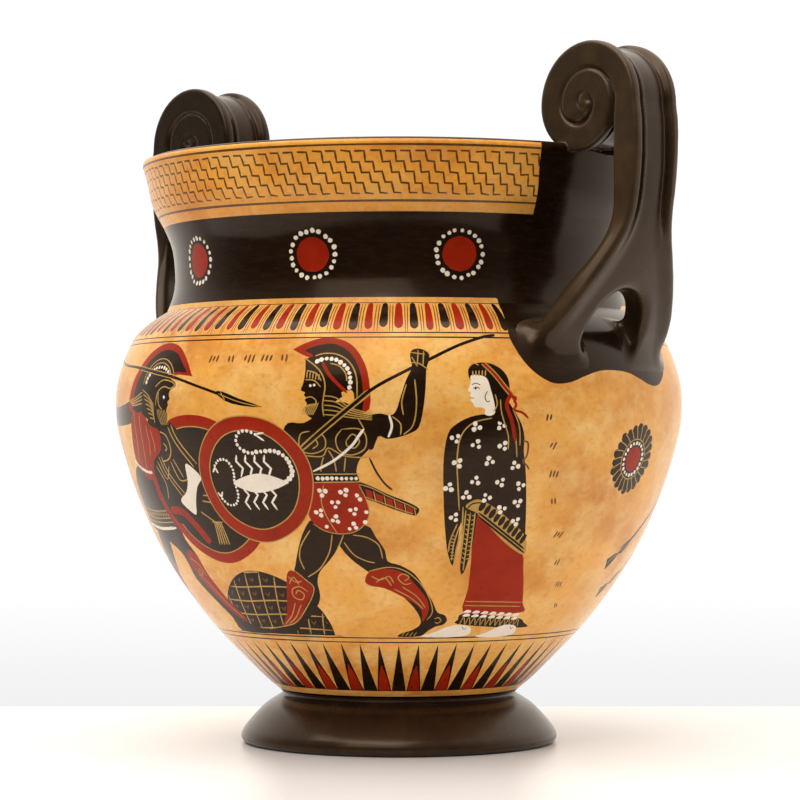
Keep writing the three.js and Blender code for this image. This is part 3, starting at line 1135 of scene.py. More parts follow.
        c.fill(Paint.CREAM, [(-5, 86.6), (-2, 86), (2.6, 81), (-1, 77), (-4.6, 70), (-6.5, 65), (-8.4, 64.5),
                             (-14, 69), (-13.8, 71.4), (-9, 74.4), (-6, 79.5)], 3)
        self.left_head()
        c.line(Paint.SLIP, [(-86, 137), (-60, 131.2), (-35, 128.6), (-10, 124.5), (8, 119.4), (17, 116.5)], 1.15, 6,
               ends=(1, 1))
        self.incise([(-34, 127.8), (-10, 123.7), (-4, 122)], [(-34, 129.4), (-10, 125.4), (-6, 124.3)], width=0.4)
        c.fill(Paint.SLIP, [(15.5, 117.4), (19, 117.4), (26, 114.6), (36, 111), (27, 111.6), (20, 113.6)], 2)
        self.incise([(17, 116.6), (26, 113.2), (35, 111.1)], [(18, 117.2), (20, 113.8)], width=0.4)

    def left_head(self) -> None:
        """The left warrior's head: a plain bearded face under a helmet with a tall crest."""
        c = self.canvas
        c.fill(Paint.RED, [
            (-42.5, 110), (-40, 120), (-35.5, 128), (-29, 135), (-22, 138.6), (-15, 139.4), (-8, 137.3), (-2, 131.8),
            (2.6, 125), (2.4, 124.2), (-8, 124.8), (-20, 120), (-30, 112),
        ], 3)
        c.fill(Paint.SLIP, [(-38, 111), (-36, 119), (-32, 126), (-26.5, 132.4), (-20, 135.6), (-14, 136.2),
                            (-8, 134), (-3.5, 129.6), (-0.8, 125.8), (-8, 126), (-20, 120), (-30, 110)], 3)
        c.fill(Paint.SLIP, [
            (-28, 118), (-26, 124), (-20, 127.8), (-13, 127), (-8.6, 123), (-6, 121.6), (-5.8, 119.8), (-8.6, 118.6),
            (-9.4, 116.4), (-8.9, 114.7), (-10.2, 113.6), (-10.0, 112), (-11.2, 110), (-10.6, 106.6), (-13.8, 103.4),
            (-18, 103), (-24, 106), (-30, 110),
        ], 3)
        for reach in (10.9, 12.7):
            self.arc_line(Paint.INCISED, -17.6, 119.6, reach, (28, 172), 0.5)
        turn = np.radians(np.linspace(38, 164, 12))
        self.dots([(-17.6 + 9.0 * math.cos(a), 119.6 + 9.0 * math.sin(a)) for a in turn], 0.8)
        self.incise([(-19, 120), (-14, 122.8), (-8.4, 122), (-6.2, 120.4), (-9, 119.2), (-13, 120), (-17, 117.5),
                     (-18.5, 112)], [(-16.4, 118), (-16.4, 113), (-14, 110.4)], width=0.55)
        self.dots([(-12.6, 115.6)], 0.75)
        for k in range(6):
            self.incise([(-17.4 + k * 1.0, 110.6 - 0.1 * k), (-16.4 + k * 1.1, 106.6), (-14.6 + k * 0.8, 103.8)],
                        width=0.4)
        for k in range(7):
            self.incise([(-29 + k, 119 - 2.0 * k), (-24 + k * 0.7, 116.5 - 1.7 * k), (-19.6, 112 - 1.2 * k)],
                        width=0.5)
        for k in range(4):
            self.incise([(-42 + k, 114.4 - k * 0.6), (-36, 115.4 - k * 1.0), (-29, 118 - k * 1.6)], width=0.6)

    def right_warrior(self) -> None:
        """A helmeted warrior facing left, in a dotted red kilt and greaves, thrusting a spear."""
        c = self.canvas
        c.fill(Paint.SLIP, [
            (60, 57), (62, 50), (66, 44.5), (71, 40), (76, 36), (84, 30), (94, 20), (98, 12), (94, 8), (88, 6),
            (86, 3.9), (98, 4.2), (102, 7), (106, 9.6), (110, 10.6), (111.8, 13), (110, 16), (106, 17.6), (103, 23),
            (98.5, 30), (93.5, 37.5), (87, 41.8), (81.6, 43.8), (80.5, 49), (77, 55), (73, 60.5),
        ], 3)
        c.fill(Paint.RED, [
            (71, 34.6), (73, 38.4), (79, 40.2), (86, 39.2), (90.4, 36.2), (95, 31), (99.4, 25.4), (101.3, 20.6),
            (100.8, 16), (98.8, 12.4), (98, 17.6), (95.4, 21.4), (88, 26), (80, 30.2), (74, 31.4), (71.4, 32.8),
        ], 3)
        self.incise(
            [(73, 38.9), (81, 40.8), (87.4, 39.9), (93.4, 35.8), (99.4, 28.4), (103.4, 18.4), (101, 13.4)], [(89, 34),
             (91, 36), (88, 37.6), (86, 35.4), (89, 32.4), (92, 33)], [(74, 36.4), (78, 34.6), (82, 36.4), (84, 33)],
            [(76, 33.4), (80, 35.6), (83, 31.6)], [(84, 30), (92, 25.4), (98.6, 19.4)], [(88, 31), (95, 26),
             (99.6, 20)], [(105, 14), (107, 14.6), (108.6, 13), (107, 11.6), (105.4, 12.2)], [(67.5, 56), (73, 55),
             (78, 51.4), (79.4, 45)], [(63.5, 52.6), (67, 47), (72, 44), (76, 43)],
        )
        for k in range(4):
            self.incise([(88 + 2.2 * k, 4.4), (89.6 + 2.2 * k, 6.4)], width=0.4)
        c.fill(Paint.SLIP, [
            (52, 63), (47, 58), (43, 50), (39.5, 41.6), (38, 38), (38, 30), (30, 16), (24, 9.9), (16, 8.8), (8, 6.4),
            (4, 4.3), (22, 4.3), (28, 7), (33, 10.4), (40, 15.4), (46, 22), (48, 27), (48.2, 33), (50.6, 38.4),
            (56, 44), (60.4, 50), (62, 58),
        ], 3)
        c.fill(Paint.RED, [(36, 38.8), (38.6, 37.8), (42, 34), (45, 30.6), (43, 26), (38, 20), (32, 13.6), (27, 10.3),
                           (19, 8.9), (22, 12), (26, 17), (29, 24), (31.6, 31), (33.6, 36.4)], 3)
        self.incise(
            [(38.4, 38.6), (42.4, 34.4), (45.6, 30.6), (43.4, 25.4), (38, 19), (31, 12.6), (24, 9.6), (8, 6.8)],
            [(35, 26.6), (37, 28.6), (39.6, 26.6), (37.4, 23.8), (33.6, 25), (34, 29), (38.4, 30.6), (42, 28)],
            [(34, 35.6), (37, 33), (40.4, 33.4)], [(33.4, 32), (36.6, 35.4), (38.4, 31.6)], [(33, 22), (28, 15),
             (21, 9.8)], [(36, 21), (30, 14), (24, 10.4)], [(49.6, 58), (44.4, 51), (42.4, 45), (43.4, 39.4)],
            [(58.8, 56), (56.6, 48), (51, 40), (44, 35.6)], [(63.6, 56), (61, 50.4)], width=0.55,
        )
        arm = [(70, 106.4), (76, 107.6), (80, 108.2), (83.4, 107.4), (85.4, 109.4), (87, 115), (89, 122), (91, 127),
               (90.4, 132), (91.4, 134.6), (94.4, 135), (97.2, 133), (97.2, 130), (96.2, 126), (95.8, 118),
               (95, 110), (93.6, 103), (91, 100.4), (86, 98.4), (82, 97.8), (79, 98.8), (76, 93)]
        c.fill(Paint.SLIP, arm, 3)
        c.fill(Paint.SLIP, [(58, 108), (52, 104.4), (46, 104.4), (44, 99), (50, 90), (53, 84), (54, 78), (70.4, 79),
                            (70.6, 84), (72, 89), (76.4, 94.6), (78.6, 100), (76, 107.4), (66, 109.6)], 3)
        self.incise(
            [(50, 91), (58, 90.4), (60.6, 94), (66, 90.8), (72, 90), (77, 90.4)], [(57, 84), (57.8, 88), (58.6, 90)],
            [(63, 84), (62.4, 89), (60.6, 93)], [(66, 84), (66.8, 90)], [(54, 101), (50.4, 99.6), (49.8, 93.6),
             (54, 91.6), (59, 93.6), (59.6, 98), (57, 101)], [(52.6, 96), (55, 98.4), (56.8, 95.6), (54.6, 93.6)],
            [(66, 101.8), (63.6, 98), (64.6, 93), (69, 91), (74, 93.6), (74.6, 99), (72, 102), (66, 101.8)],
            [(67.4, 97), (69.8, 99.8), (72.2, 97), (70.4, 94), (67.6, 95), (67.4, 97)], [(84, 107), (87, 104),
             (87, 99.4)], [(92, 122), (92.6, 112), (91.4, 103.4), (88, 99.6)], [(89, 120), (87.4, 113), (88, 107.6)],
            [(74, 102), (72, 106)],
        )
        c.line(Paint.CREAM, [(54, 84), (62, 88.4), (69, 94.6), (72, 99), (74, 102)], 1.05, 6)
        c.line(Paint.CREAM, [(82.9, 107.6), (83.9, 103), (82.6, 98.4)], 0.9, 6)
        c.line(Paint.SLIP, [(75.6, 90), (78, 84), (81, 79), (84, 76)], 0.8, 6)
        self.scabbard()
        kilt = [(54, 79.4), (54, 79.4), (71, 79.2), (71, 79.2), (73.6, 72), (74.6, 66), (72.6, 61), (68, 57.6),
                (62, 56.8), (56, 58), (51.6, 61.4), (50, 66), (52, 73)]
        c.fill(Paint.RED, kilt, 3)
        self.incise(
            [(71.4, 78), (73.8, 72), (74.8, 66), (72.6, 60.8), (68, 57.3), (62, 56.5), (56, 57.8), (51.4, 61)],
            [(57.6, 78), (56, 71), (57.6, 64), (61, 57)], width=0.4,
        )
        self.triples([(56.8, 75), (65.4, 75), (61.5, 70), (54.6, 66), (68.6, 66.8), (61, 63)])
        self.dots([(70.4, 73.8), (71.4, 72), (73.6, 66.4), (72.9, 62), (57, 59.7), (66.5, 58.8), (69, 59.4),
                   (68.2, 61.2)])
        self.incise([(54, 82.8), (72, 83)], [(54, 79.3), (72, 79.6)], width=0.5)
        self.dots([(55.6 + 1.85 * k, 81.0) for k in range(9)], 0.85)
        self.right_head()
        c.line(Paint.INCISED, [(50.4, 93.6), (60, 102.4), (70, 111.6), (76, 117)], 2.4, 5, ends=(0.9, 0.8))
        c.line(Paint.SLIP, [(50.4, 93.6), (60, 102.4), (70, 111.6), (78, 118.8), (90, 126.2), (97, 130.2),
                            (108, 136.4), (118, 140.4), (123, 141.4)], 1.3, 6, ends=(0.6, 0.9))
        self.incise([(90.6, 133.4), (96, 132.6)], [(91, 131.4), (93, 127.4)], [(93.4, 134.4), (93, 128)],
                    [(95.4, 134), (95, 127.4)], [(90.4, 128.6), (93, 129), (97, 126)], width=0.45)

    def scabbard(self) -> None:
        """The right warrior's scabbard, striped red and black."""
        c = self.canvas
        c.fill(Paint.SLIP, [(70, 79.6), (75, 78.2), (82, 74.4), (90, 70.8), (94.2, 68), (93.6, 65.4), (91.8, 65),
                            (84, 67.8), (76, 71.4), (71, 73.6)], 3)
        for k in range(5):
            u, v = 73.6 + 3.9 * k, 76.6 - 1.85 * k
            c.fill(Paint.RED, [
                (u, v), (u + 2.6, v - 1.2), (u + 2.9, v - 4.6 + 0.22 * k), (u + 0.5, v - 3.7 + 0.2 * k),
            ])
        self.incise([(71, 78.6), (76, 77), (83, 73), (90.4, 69.4), (93.4, 67.6)],
                    [(73, 73.2), (80, 70.4), (88, 67), (92, 65.6)], width=0.4)
        for k in range(5):
            u, v = 76.8 + 3.9 * k, 75.6 - 1.85 * k
            self.incise([(u, v), (u + 0.8, v - 5.0 + 0.24 * k)], width=0.4)

    def right_head(self) -> None:
        """The right warrior's head: a plain bearded face under a helmet with a tall crest."""
        c = self.canvas
        c.fill(Paint.RED, [
            (46.6, 135), (46.6, 135), (51, 137.6), (57, 139.9), (63, 139.8), (69, 136.8), (73.4, 130.4), (75.8, 122),
            (76, 110), (70, 110), (66, 126), (56, 130.4), (51, 132.4),
        ], 3)
        c.fill(Paint.SLIP, [(51.6, 134.4), (57, 136.8), (62.6, 137.2), (68, 134), (71.6, 128), (73.4, 120.4),
                            (73.6, 110), (70, 109.6), (60, 116), (55.8, 131)], 3)
        c.fill(Paint.SLIP, [
            (52, 130.6), (52, 130.6), (57, 132.4), (66, 131), (70.6, 124), (70.8, 112), (68, 108), (60, 105),
            (54, 107), (52.6, 110), (53.4, 112.2), (52.6, 113.6), (53.1, 114.7), (52.2, 115.7), (52.7, 116.8),
            (51.1, 117.8), (52.0, 121), (52.4, 126),
        ], 3)
        c.fill(Paint.CLAY, [
            (63.8, 113), (66.4, 115), (66, 116.8), (69.8, 117.6), (70.6, 114.6), (70.4, 111.4), (67, 112.8),
        ], 2)
        self.incise(
            [(52, 131), (57.6, 126), (60, 120), (59.2, 112), (59.6, 107)], [(53, 125.8), (56.6, 124.6),
             (58.6, 121.4)], [(52.6, 122), (56, 121.6), (58.4, 119)], [(55.6, 132), (59, 133.1), (64, 132.6),
             (68.6, 129.2), (71.3, 123), (71.6, 114)], [(67.9, 121.4), (67.4, 124.4), (65, 127.6), (61.4, 128.8)],
        )
        c.line(Paint.RED, [(58.6, 129.4), (61, 124.6), (64.4, 120.4), (68, 116.6)], 1.3, 5, ends=(0.4, 0.3))
        for k in range(5):
            self.incise([(53.2 + k * 1.15, 125.6 - 0.35 * k), (53.1 + k * 1.1, 122.6 - 0.2 * k)], width=0.45)
        for k in range(7):
            self.incise([(57.6 - 0.55 * k, 112.6 - 0.1 * k), (56.8 - 0.75 * k, 110.4), (55.4 - 0.62 * k, 107.6)],
                        width=0.4)
        self.incise([(53, 114.6), (55, 115), (56.8, 113.4), (56.4, 111.4)], width=0.45)
        self.dots([(54.6, 119.6), (56, 119.7)], 0.55)
        for k in range(5):
            self.incise([(59.6, 115.4 - 1.9 * k), (64, 114.6 - 1.8 * k), (69, 110.6 - 1.0 * k), (77, 108 - 0.6 * k)],
                        width=0.45)
        turn = np.radians(np.linspace(118, -16, 12))
        self.dots([(60.6 + 8.6 * math.cos(a), 121.4 + 9.4 * math.sin(a)) for a in turn], 0.95)

    def front_shield(self) -> None:
        """The right warrior's round shield, its face turned this way, with a pale crawling creature on it."""
        c = self.canvas
        self.round_patch(Paint.INCISED, 28, 80, 27.9)
        self.round_patch(Paint.RED, 28, 80, 27.4)
        self.round_patch(Paint.INCISED, 28, 80, 21.9)
        self.round_patch(Paint.SLIP, 28, 80, 21.4)
        c.fill(Paint.CREAM, [
            (19, 78.6), (24, 81.4), (31, 83), (37, 82), (42.6, 79.6), (42.4, 78.4), (37, 76), (30, 74.6), (24, 75.8),
        ], 3)
        for k in range(4):
            u = 23.6 + 4.1 * k
            c.line(Paint.CREAM, [(u - 0.4, 81.4), (u + 1.2, 85.2), (u - 1.4, 88.2), (u - 0.8, 91)], 0.95, 0)
            c.line(Paint.CREAM, [(u - 1.0, 77), (u + 1.6, 73.6), (u - 0.8, 70.4), (u + 1.0, 67)], 0.95, 0)
        tail = [(42.8, 79.6), (45.6, 83), (45, 87.4), (42.4, 91.2), (38, 92.8), (33, 92.4), (29, 91.8), (25.2, 93.6),
                (23.6, 97), (25.4, 100.4), (29, 101.2), (32.4, 99.6)]
        for k, spot in enumerate(spaced(tail, 12, 26)):
            self.dots([spot], 1.12 - 0.018 * k)
        c.line(Paint.CREAM, [(32.6, 99.4), (35.8, 97)], 0.8, 0)
        c.line(Paint.CREAM, [(32.6, 99.8), (36, 100.4)], 0.8, 0)
        for sign in (1, -1):
            claw = [(19.6, 80 - 1.4 * (sign < 0)), (20, 78.8 + 5.6 * sign), (17.6, 79 + 9.6 * sign),
                    (14, 79 + 9.8 * sign),
                    (11.4, 79 + 7.2 * sign)]
            self.dots(spaced(claw, 8, 12), 0.64)
            c.line(Paint.CREAM, [(11.2, 79 + 6.6 * sign), (12.4, 79 + 4.0 * sign)], 0.8, 0)
            c.line(Paint.CREAM, [(11.2, 79 + 6.6 * sign), (9.8, 79 + 4.4 * sign)], 0.8, 0)

    def woman(self) -> None:
        """A woman facing left, wrapped in a dotted black cloak over a red skirt."""
        c = self.canvas
        c.fill(Paint.RED, [(116, 68), (124, 62), (134, 53), (142, 46.4), (144.4, 40), (148.4, 30), (152, 21.4),
                           (155, 16.6), (136, 16), (119.6, 17), (119.2, 30), (117.8, 46)], 3)
        c.fill(Paint.SLIP, [(119.6, 16.6), (136, 15.4), (154.6, 13), (159, 10.6), (163.6, 8), (152, 7.9), (136, 9),
                            (117.6, 11), (117.6, 13.4)], 3)
        for v in (20.4, 22.6):
            self.incise([(119.4, v + 0.6), (136, v), (151.4, v - 0.7)], width=0.5)
        for k in range(12):
            u = 120.6 + 3.05 * k
            self.incise([(u - 1.4, 10.6 - 0.14 * k), (u, 14.8 - 0.2 * k), (u + 1.5, 10.2 - 0.14 * k)], width=0.5)
        for k in range(7):
            u, v = 121.4 + 4.9 * k, 17.9 - 0.42 * k
            for low in (0, 2.0):
                c.fill(Paint.CREAM, [(u - 1.9, v - low - 0.6), (u, v - low + 0.75), (u + 2.3, v - low + 0.2),
                                     (u + 1.9, v - low - 0.8), (u, v - low - 0.9)], 2)
        for u, v, s in ((99, 4, 1.0), (131, 3.4, 0.9)):
            c.fill(Paint.CREAM, [
                (u, v), (u + 7 * s, v + 2.4), (u + 13 * s, v + 5.2), (u + 19 * s, v + 6.4), (u + 26 * s, v + 5.4),
                (u + 28 * s, v + 2.8), (u + 26 * s, v + 0.3), (u + 14 * s, v - 0.7),
            ], 3)
            c.line(Paint.WASH, [(u + 22 * s, v + 5.6), (u + 23.6 * s, v + 3.8), (u + 25 * s, v + 4.9)], 0.3, 4)
        c.fill(Paint.SLIP, [
            (104, 100), (107, 104), (112, 106.9), (118, 108), (124, 107), (130, 104), (133, 99), (133.4, 93),
            (135.4, 84), (138, 70), (140.6, 56), (142.6, 47), (136, 50), (128, 56.6), (122, 62), (118, 66),
            (117.6, 52), (115.6, 38), (113.6, 40), (113, 52), (111.4, 62), (110.8, 50), (110, 41.6), (107.4, 47),
            (106, 53), (104.4, 64), (103.2, 78), (102.8, 90),
        ], 3)
        self.borders()
        self.incise([(120, 106.4), (113, 104.4), (108.8, 99), (107.8, 90), (108.6, 80), (110.2, 67)], width=0.55)
        self.triples([
            (106.8, 98), (114.3, 102.8), (123.5, 103.4), (114.7, 95.5), (125, 94.8), (120.2, 88.4), (108.2, 87.6),
            (130.7, 86.4), (115.5, 80), (125.6, 79.3), (105.4, 77.2), (134, 77.7), (112.4, 73.6), (120.6, 72.6),
            (134.2, 70.2), (108.4, 64), (127.6, 67.4), (134.8, 61.9),
        ], 1.35, 0.98)
        self.woman_head()

    def borders(self) -> None:
        """The woven borders of the woman's cloak."""
        c = self.canvas
        c.fill(Paint.INCISED, [(112.6, 68.6), (115, 71.2), (118, 71.8), (124, 68.6), (132, 62.6), (141, 54.8),
                               (142.8, 46.4), (135, 50), (127, 56.4), (118.6, 64.8), (117.4, 66)], 3)
        for start, end in (((118.2, 66.0), (142, 49.0)), ((118.4, 64.2), (142.4, 47.2))):
            c.line(Paint.SLIP, [start, ((start[0] + end[0]) / 2, (start[1] + end[1]) / 2 - 0.4), end], 0.95, 6)
        for k in range(10):
            u, v, lean = 119.3 + 2.3 * k, 69.2 - 1.68 * k, 0.2 * (k % 2)
            c.fill(Paint.SLIP, [(u - 1.3, v - 1.9), (u - 1.0 + lean, v + 0.3), (u + 0.6, v + 1.9), (u + 1.5, v + 1.3),
                                (u + 1.3 - lean, v - 0.8), (u - 0.2, v - 2.5)], 3)
        c.line(Paint.SLIP, [(113.4, 68.0), (115.2, 69.9), (118.2, 70.4), (120.6, 69.4)], 0.6, 6)
        for u, top, foot in ((113.3, 67, 41), (117.2, 66, 44), (115.2, 66, 39)):
            self.incise([(u - 0.4, top), (u - 0.3, (top + foot) / 2), (u - 0.1, foot)], width=0.6)
        for k in range(11):
            self.incise(
                [(113.6, 65.4 - 2.2 * k), (115, 64.4 - 2.2 * k)], [(115.6, 64.6 - 2.0 * k), (117, 65 - 2.0 * k)],
                width=0.45,
            )
        self.incise([(111.6, 68.6), (112.4, 56), (113.2, 44)], [(110, 61), (107.8, 54), (107.4, 48)],
                    [(111, 60), (109.4, 52), (109.2, 44)], [(112.4, 60), (111, 52), (110.4, 43)], width=0.6)
        for k in range(8):
            self.incise([(107.8 + 0.1 * k, 56 - 1.6 * k), (109.4 + 0.1 * k, 55.4 - 1.5 * k)], width=0.45)

    def woman_head(self) -> None:
        """The woman's head: a plain pale face, dark hair with a red band, and loose locks."""
        c = self.canvas
        c.fill(Paint.SLIP, [
            (111.4, 126.4), (113.6, 128.6), (118, 129.2), (122.4, 127.6), (125.6, 124), (126.6, 119), (126, 114),
            (128, 110), (131.4, 104), (133, 98), (131.4, 92), (129, 98), (126, 103), (121.4, 106), (118.4, 112),
            (115, 120), (111.8, 122),
        ], 3)
        c.fill(Paint.CREAM, [
            (112.2, 123.6), (112.0, 120.6), (111.0, 117.6), (112.1, 116.7), (111.6, 115.5), (112.3, 114.6),
            (111.9, 113.6), (112.7, 112.4), (113.6, 110.8), (116.2, 110.6), (117.3, 109.6), (117.2, 107.9),
            (119.2, 107.3), (121, 108.6), (120.6, 113), (119.4, 118), (118, 122.6), (115, 123.9),
        ], 3)
        c.line(Paint.SLIP, [(112.4, 119.9), (114, 120.5), (115.6, 119.8)], 0.32, 4)
        c.line(Paint.SLIP, [(112.9, 118.4), (114.2, 118.9), (115.3, 118.2)], 0.34, 4)
        c.dot(Paint.SLIP, 113.8, 118.3, 0.42)
        c.line(Paint.SLIP, [(111.9, 114.5), (113.3, 114.4)], 0.25, 0)
        c.line(Paint.SLIP, [(118.2, 117.4), (117.2, 115), (118, 113), (119, 113.4)], 0.35, 4)
        for k in range(5):
            self.incise([(113 + 1.2 * k, 125.6 + 0.1 * k), (112.9 + 1.15 * k, 123.4)], width=0.5)
        self.incise([(111.6, 127), (113.4, 128.9), (115.4, 128)], [(121, 116), (121.8, 112), (120.4, 109)],
                    [(123, 114), (123.6, 108), (126.6, 99), (127, 93.4)], [(125.4, 112), (127.4, 104), (129.8, 96)],
                    [(127.8, 110), (130.6, 103), (131.6, 95)], [(126.6, 108), (129.2, 100), (131, 90)], width=0.45)
        c.line(Paint.INCISED, [(117, 129), (121, 124.4), (124.6, 119.2), (127.6, 115.4)], 1.9, 5, ends=(0.9, 0.8))
        c.line(Paint.RED, [(117, 129), (121, 124.4), (124.6, 119.2), (127.6, 115.4)], 1.1, 5, ends=(0.9, 0.8))
        c.line(Paint.RED, [(127, 116), (125.4, 111.6), (127.6, 105), (129.6, 96.6)], 1.5, 6, ends=(0.8, 0.3))
        c.line(Paint.RED, [(127.4, 115.6), (129, 112), (128.4, 109.8), (131.6, 108.6), (134, 106.4)], 1.0, 6,
               ends=(0.8, 0.4))
        c.line(Paint.RED, [(126.4, 115.2), (128.8, 114.8), (128.2, 112.6)], 1.0, 5)
        c.line(Paint.WASH, [(132.6, 97), (134.8, 96), (135, 91), (133.6, 88.4), (135.4, 86.6), (136.9, 84.6)],
               0.75, 5)

    def strokes(self) -> None:
        """Small brush marks in two rows, which are no letters of any alphabet."""
        hand = self.canvas.hand
        for u in (12.4, 21.4, 28.8, 36.2, 44.2):
            self.marks(u, 131.2, 1.9, hand)
        for u, v in ((143, 106.6), (146, 94.8), (147.8, 82.6), (151, 70.6), (157.4, 55.4), (163, 42), (169.6, 30.6),
                     (177, 19)):
            self.marks(u, v, 1.7, hand)

    def marks(self, u: float, v: float, size: float, hand: np.random.Generator) -> None:
        """Two or three short strokes side by side."""
        lean = hand.uniform(-0.5, 0.5)
        for k in range(int(hand.integers(2, 4))):
            across = (k - 0.8) * 0.9 * size
            reach = size * hand.uniform(0.75, 1.1)
            self.canvas.line(Paint.WASH, [
                (u + across + lean * reach, v + reach), (u + across - lean * reach, v - reach * hand.uniform(0.5, 1)),
            ], 0.85, 0)

    def rosette(self, azimuth: float) -> None:
        """A round flower under a handle."""
        c = self.canvas
        u, v = c.u_at(azimuth), 89.0
        wide = c.widening(v)
        petals = 22
        ray = lambda turn, reach: (u + reach * math.cos(turn) * wide, v + reach * math.sin(turn))
        for k in range(petals):
            turn = 2 * math.pi * k / petals + 0.1
            tip = 15.2 + c.hand.uniform(-0.5, 0.7)
            c.fill(Paint.SLIP, [
                ray(turn - 0.15, 7), ray(turn - 0.15, 12), ray(turn - 0.13, tip - 1.0), ray(turn + 0.01, tip),
                ray(turn + 0.13, tip - 1.3), ray(turn + 0.15, 12), ray(turn + 0.15, 7),
            ], 2)
        for k in range(petals):
            turn = 2 * math.pi * (k + 0.5) / petals + 0.1
            self.incise([ray(turn - 0.06, 8.8), ray(turn - 0.01, 11.6), ray(turn + 0.05, 14.4)], width=0.48)
        self.round_patch(Paint.INCISED, u, v, 9.0)
        self.round_patch(Paint.SLIP, u, v, 8.5)
        self.dots([ray(2 * math.pi * k / 20, 7.1) for k in range(20)], 0.82)
        self.round_patch(Paint.RED, u, v, 5.5)

    def spears(self) -> None:
        """The butts of two spears that a figure on the back leans on."""
        c = self.canvas
        for u, v, rise in ((207.0, 43.4, 0.76), (219.4, 27.6, 0.67)):
            way = np.array([1.0, rise]) / math.hypot(1, rise)
            side = np.array([-way[1], way[0]])
            spot = lambda along, across: tuple(np.array([u, v]) + along * way + across * side)
            c.line(Paint.SLIP, [spot(0, 0), spot(20, 0.5), spot(68, 0.2)], 2.2, 5)
            c.fill(Paint.SLIP, [
                spot(3, 0), spot(5, 2.3), spot(9, 2.1), spot(13, 0.9), spot(12, -1.0), spot(8, -2.1), spot(5, -2.1),
            ], 3)
            c.fill(Paint.SLIP, [spot(2, 0), spot(0, 2.0), spot(-4, 2.9), spot(-6.4, 3.2), spot(-6.6, 0.3),
                                spot(-7.2, -2.4), spot(-4, -2.5), spot(0, -1.7)], 3)
            self.incise([spot(1.4, 0.5), spot(-6, 0.8)], [spot(4, 0.2), spot(10, 0.4)], width=0.4)

    def cloaked(self, u: float, facing: int, cloth: Paint, skirt: Paint, pale: bool) -> None:
        """A plain standing figure in a long cloak, as on the back of such a vase.

        Args:
            u: Where it stands.
            facing: 1 to the right and -1 to the left.
            cloth: The cloak's paint.
            skirt: The paint of the dress under it.
            pale: Whether the skin is added white.
        """
        c = self.canvas
        at = lambda points: [(u + facing * a, b) for a, b in points]
        skin = Paint.CREAM if pale else Paint.SLIP
        for shift in (0, -13):
            c.fill(skin, at([(16 + shift, 4), (12 + shift, 5.4), (4 + shift, 9), (-3 + shift, 9.4), (-4 + shift, 5),
                             (-2 + shift, 3.6)]), 3)
        c.fill(skirt, at([(10, 44), (10, 24), (11, 10), (-4, 9), (-20, 9), (-15, 30), (-12, 46)]), 3)
        c.fill(cloth, at([(13, 101), (10, 106), (3, 109), (-5, 108), (-12, 104), (-15, 96), (-15, 84), (-17, 66),
                          (-19, 48), (-20, 40), (-10, 36), (2, 40), (10, 46), (12, 62), (14, 80), (14.4, 92)]), 3)
        c.fill(Paint.SLIP, at([(6, 126), (3, 129), (-3, 129), (-7.6, 125), (-8.4, 118), (-7, 111), (-9, 104),
                               (-3, 106),
                               (2, 110), (4, 118)]), 3)
        c.fill(skin, at([(5.8, 124), (6.1, 121), (7.2, 118.2), (6.2, 117.2), (6.5, 116), (5.8, 115), (6.2, 113.8),
                         (4.8, 111.4), (1.6, 111), (0.8, 107.4), (-3, 107), (-3.4, 112), (-2.4, 118),
                         (-0.6, 124)]), 3)
        c.line(Paint.INCISED if not pale else Paint.SLIP, at([(3.4, 119), (4.6, 119.4), (5.6, 118.6)]), 0.4, 4)
        c.line(Paint.RED, at([(5.6, 126.4), (-1, 125), (-8, 121)]), 1.2, 4)
        self.incise(
            at([(12, 100), (4, 96), (-4, 84), (-12, 64), (-17, 50)]),
            at([(13.6, 88), (6, 84), (-2, 70), (-10, 50), (-14, 40)]), at([(13, 74), (8, 70), (2, 58), (-4, 42)]),
            at([(-19.6, 41.6), (-10, 37.6), (2, 41.6), (9.6, 47)]), at([(9, 20), (-4, 18), (-17.6, 19)]),
            at([(9.6, 16.6), (-4, 15), (-18.6, 16)]), at([(-2, 36), (-4, 20)]), at([(5, 40), (5, 20)]),
            at([(-9, 36), (-12, 20)]),
        )
        self.triples(at([(6, 100), (-6, 98), (8, 79), (-10, 80), (0, 62), (-13, 58), (7, 56), (-5, 47)]))
        c.line(Paint.SLIP, at([(24, 4), (23, 60), (22, 126)]), 1.0, 4)

    def paint(self) -> None:
        """Brushes the whole frieze on."""
        self.mound()
        self.far_shield()
        self.left_warrior()
        self.right_warrior()
        self.front_shield()
        self.woman()
        self.strokes()
        self.rosette(9.3)
        self.rosette(-171.5)
        self.spears()
        self.cloaked(-118, 1, Paint.SLIP, Paint.RED, True)
        for azimuth, facing, cloth, skirt, pale in (
            (52, 1, Paint.SLIP, Paint.RED, False), (78, -1, Paint.RED, Paint.SLIP, True),
            (104, 1, Paint.SLIP, Paint.RED, True), (131, -1, Paint.RED, Paint.SLIP, False),
        ):
            self.cloaked(self.canvas.u_at(azimuth), facing, cloth, skirt, pale)


# ---- Finishes ----


def linear(shade: str) -> tuple[float, float, float, float]:
    """A colour as Blender reckons it, from the six hex digits that it is known by."""
    parts = [int(shade[k:k + 2], 16) / 255 for k in (0, 2, 4)]
    return (*[c / 12.92 if c <= 0.04045 else ((c + 0.055) / 1.055) ** 2.4 for c in parts], 1.0)


def add_node(tree: bpy.types.NodeTree, kind: str, **settings: object) -> bpy.types.Node:
    """Adds a node; a setting named with a leading in_ fills that input, and any other is an attribute."""
    node = tree.nodes.new(kind)
    for key, value in settings.items():
        if key.startswith("in_"):
            name = key[3:].replace("_", " ")
            socket = node.inputs[int(name)] if name.isdigit() else node.inputs[name]
            if isinstance(value, bpy.types.NodeSocket):
                tree.links.new(value, socket)
            else:
                socket.default_value = value
        else:
            setattr(node, key, value)
    return node


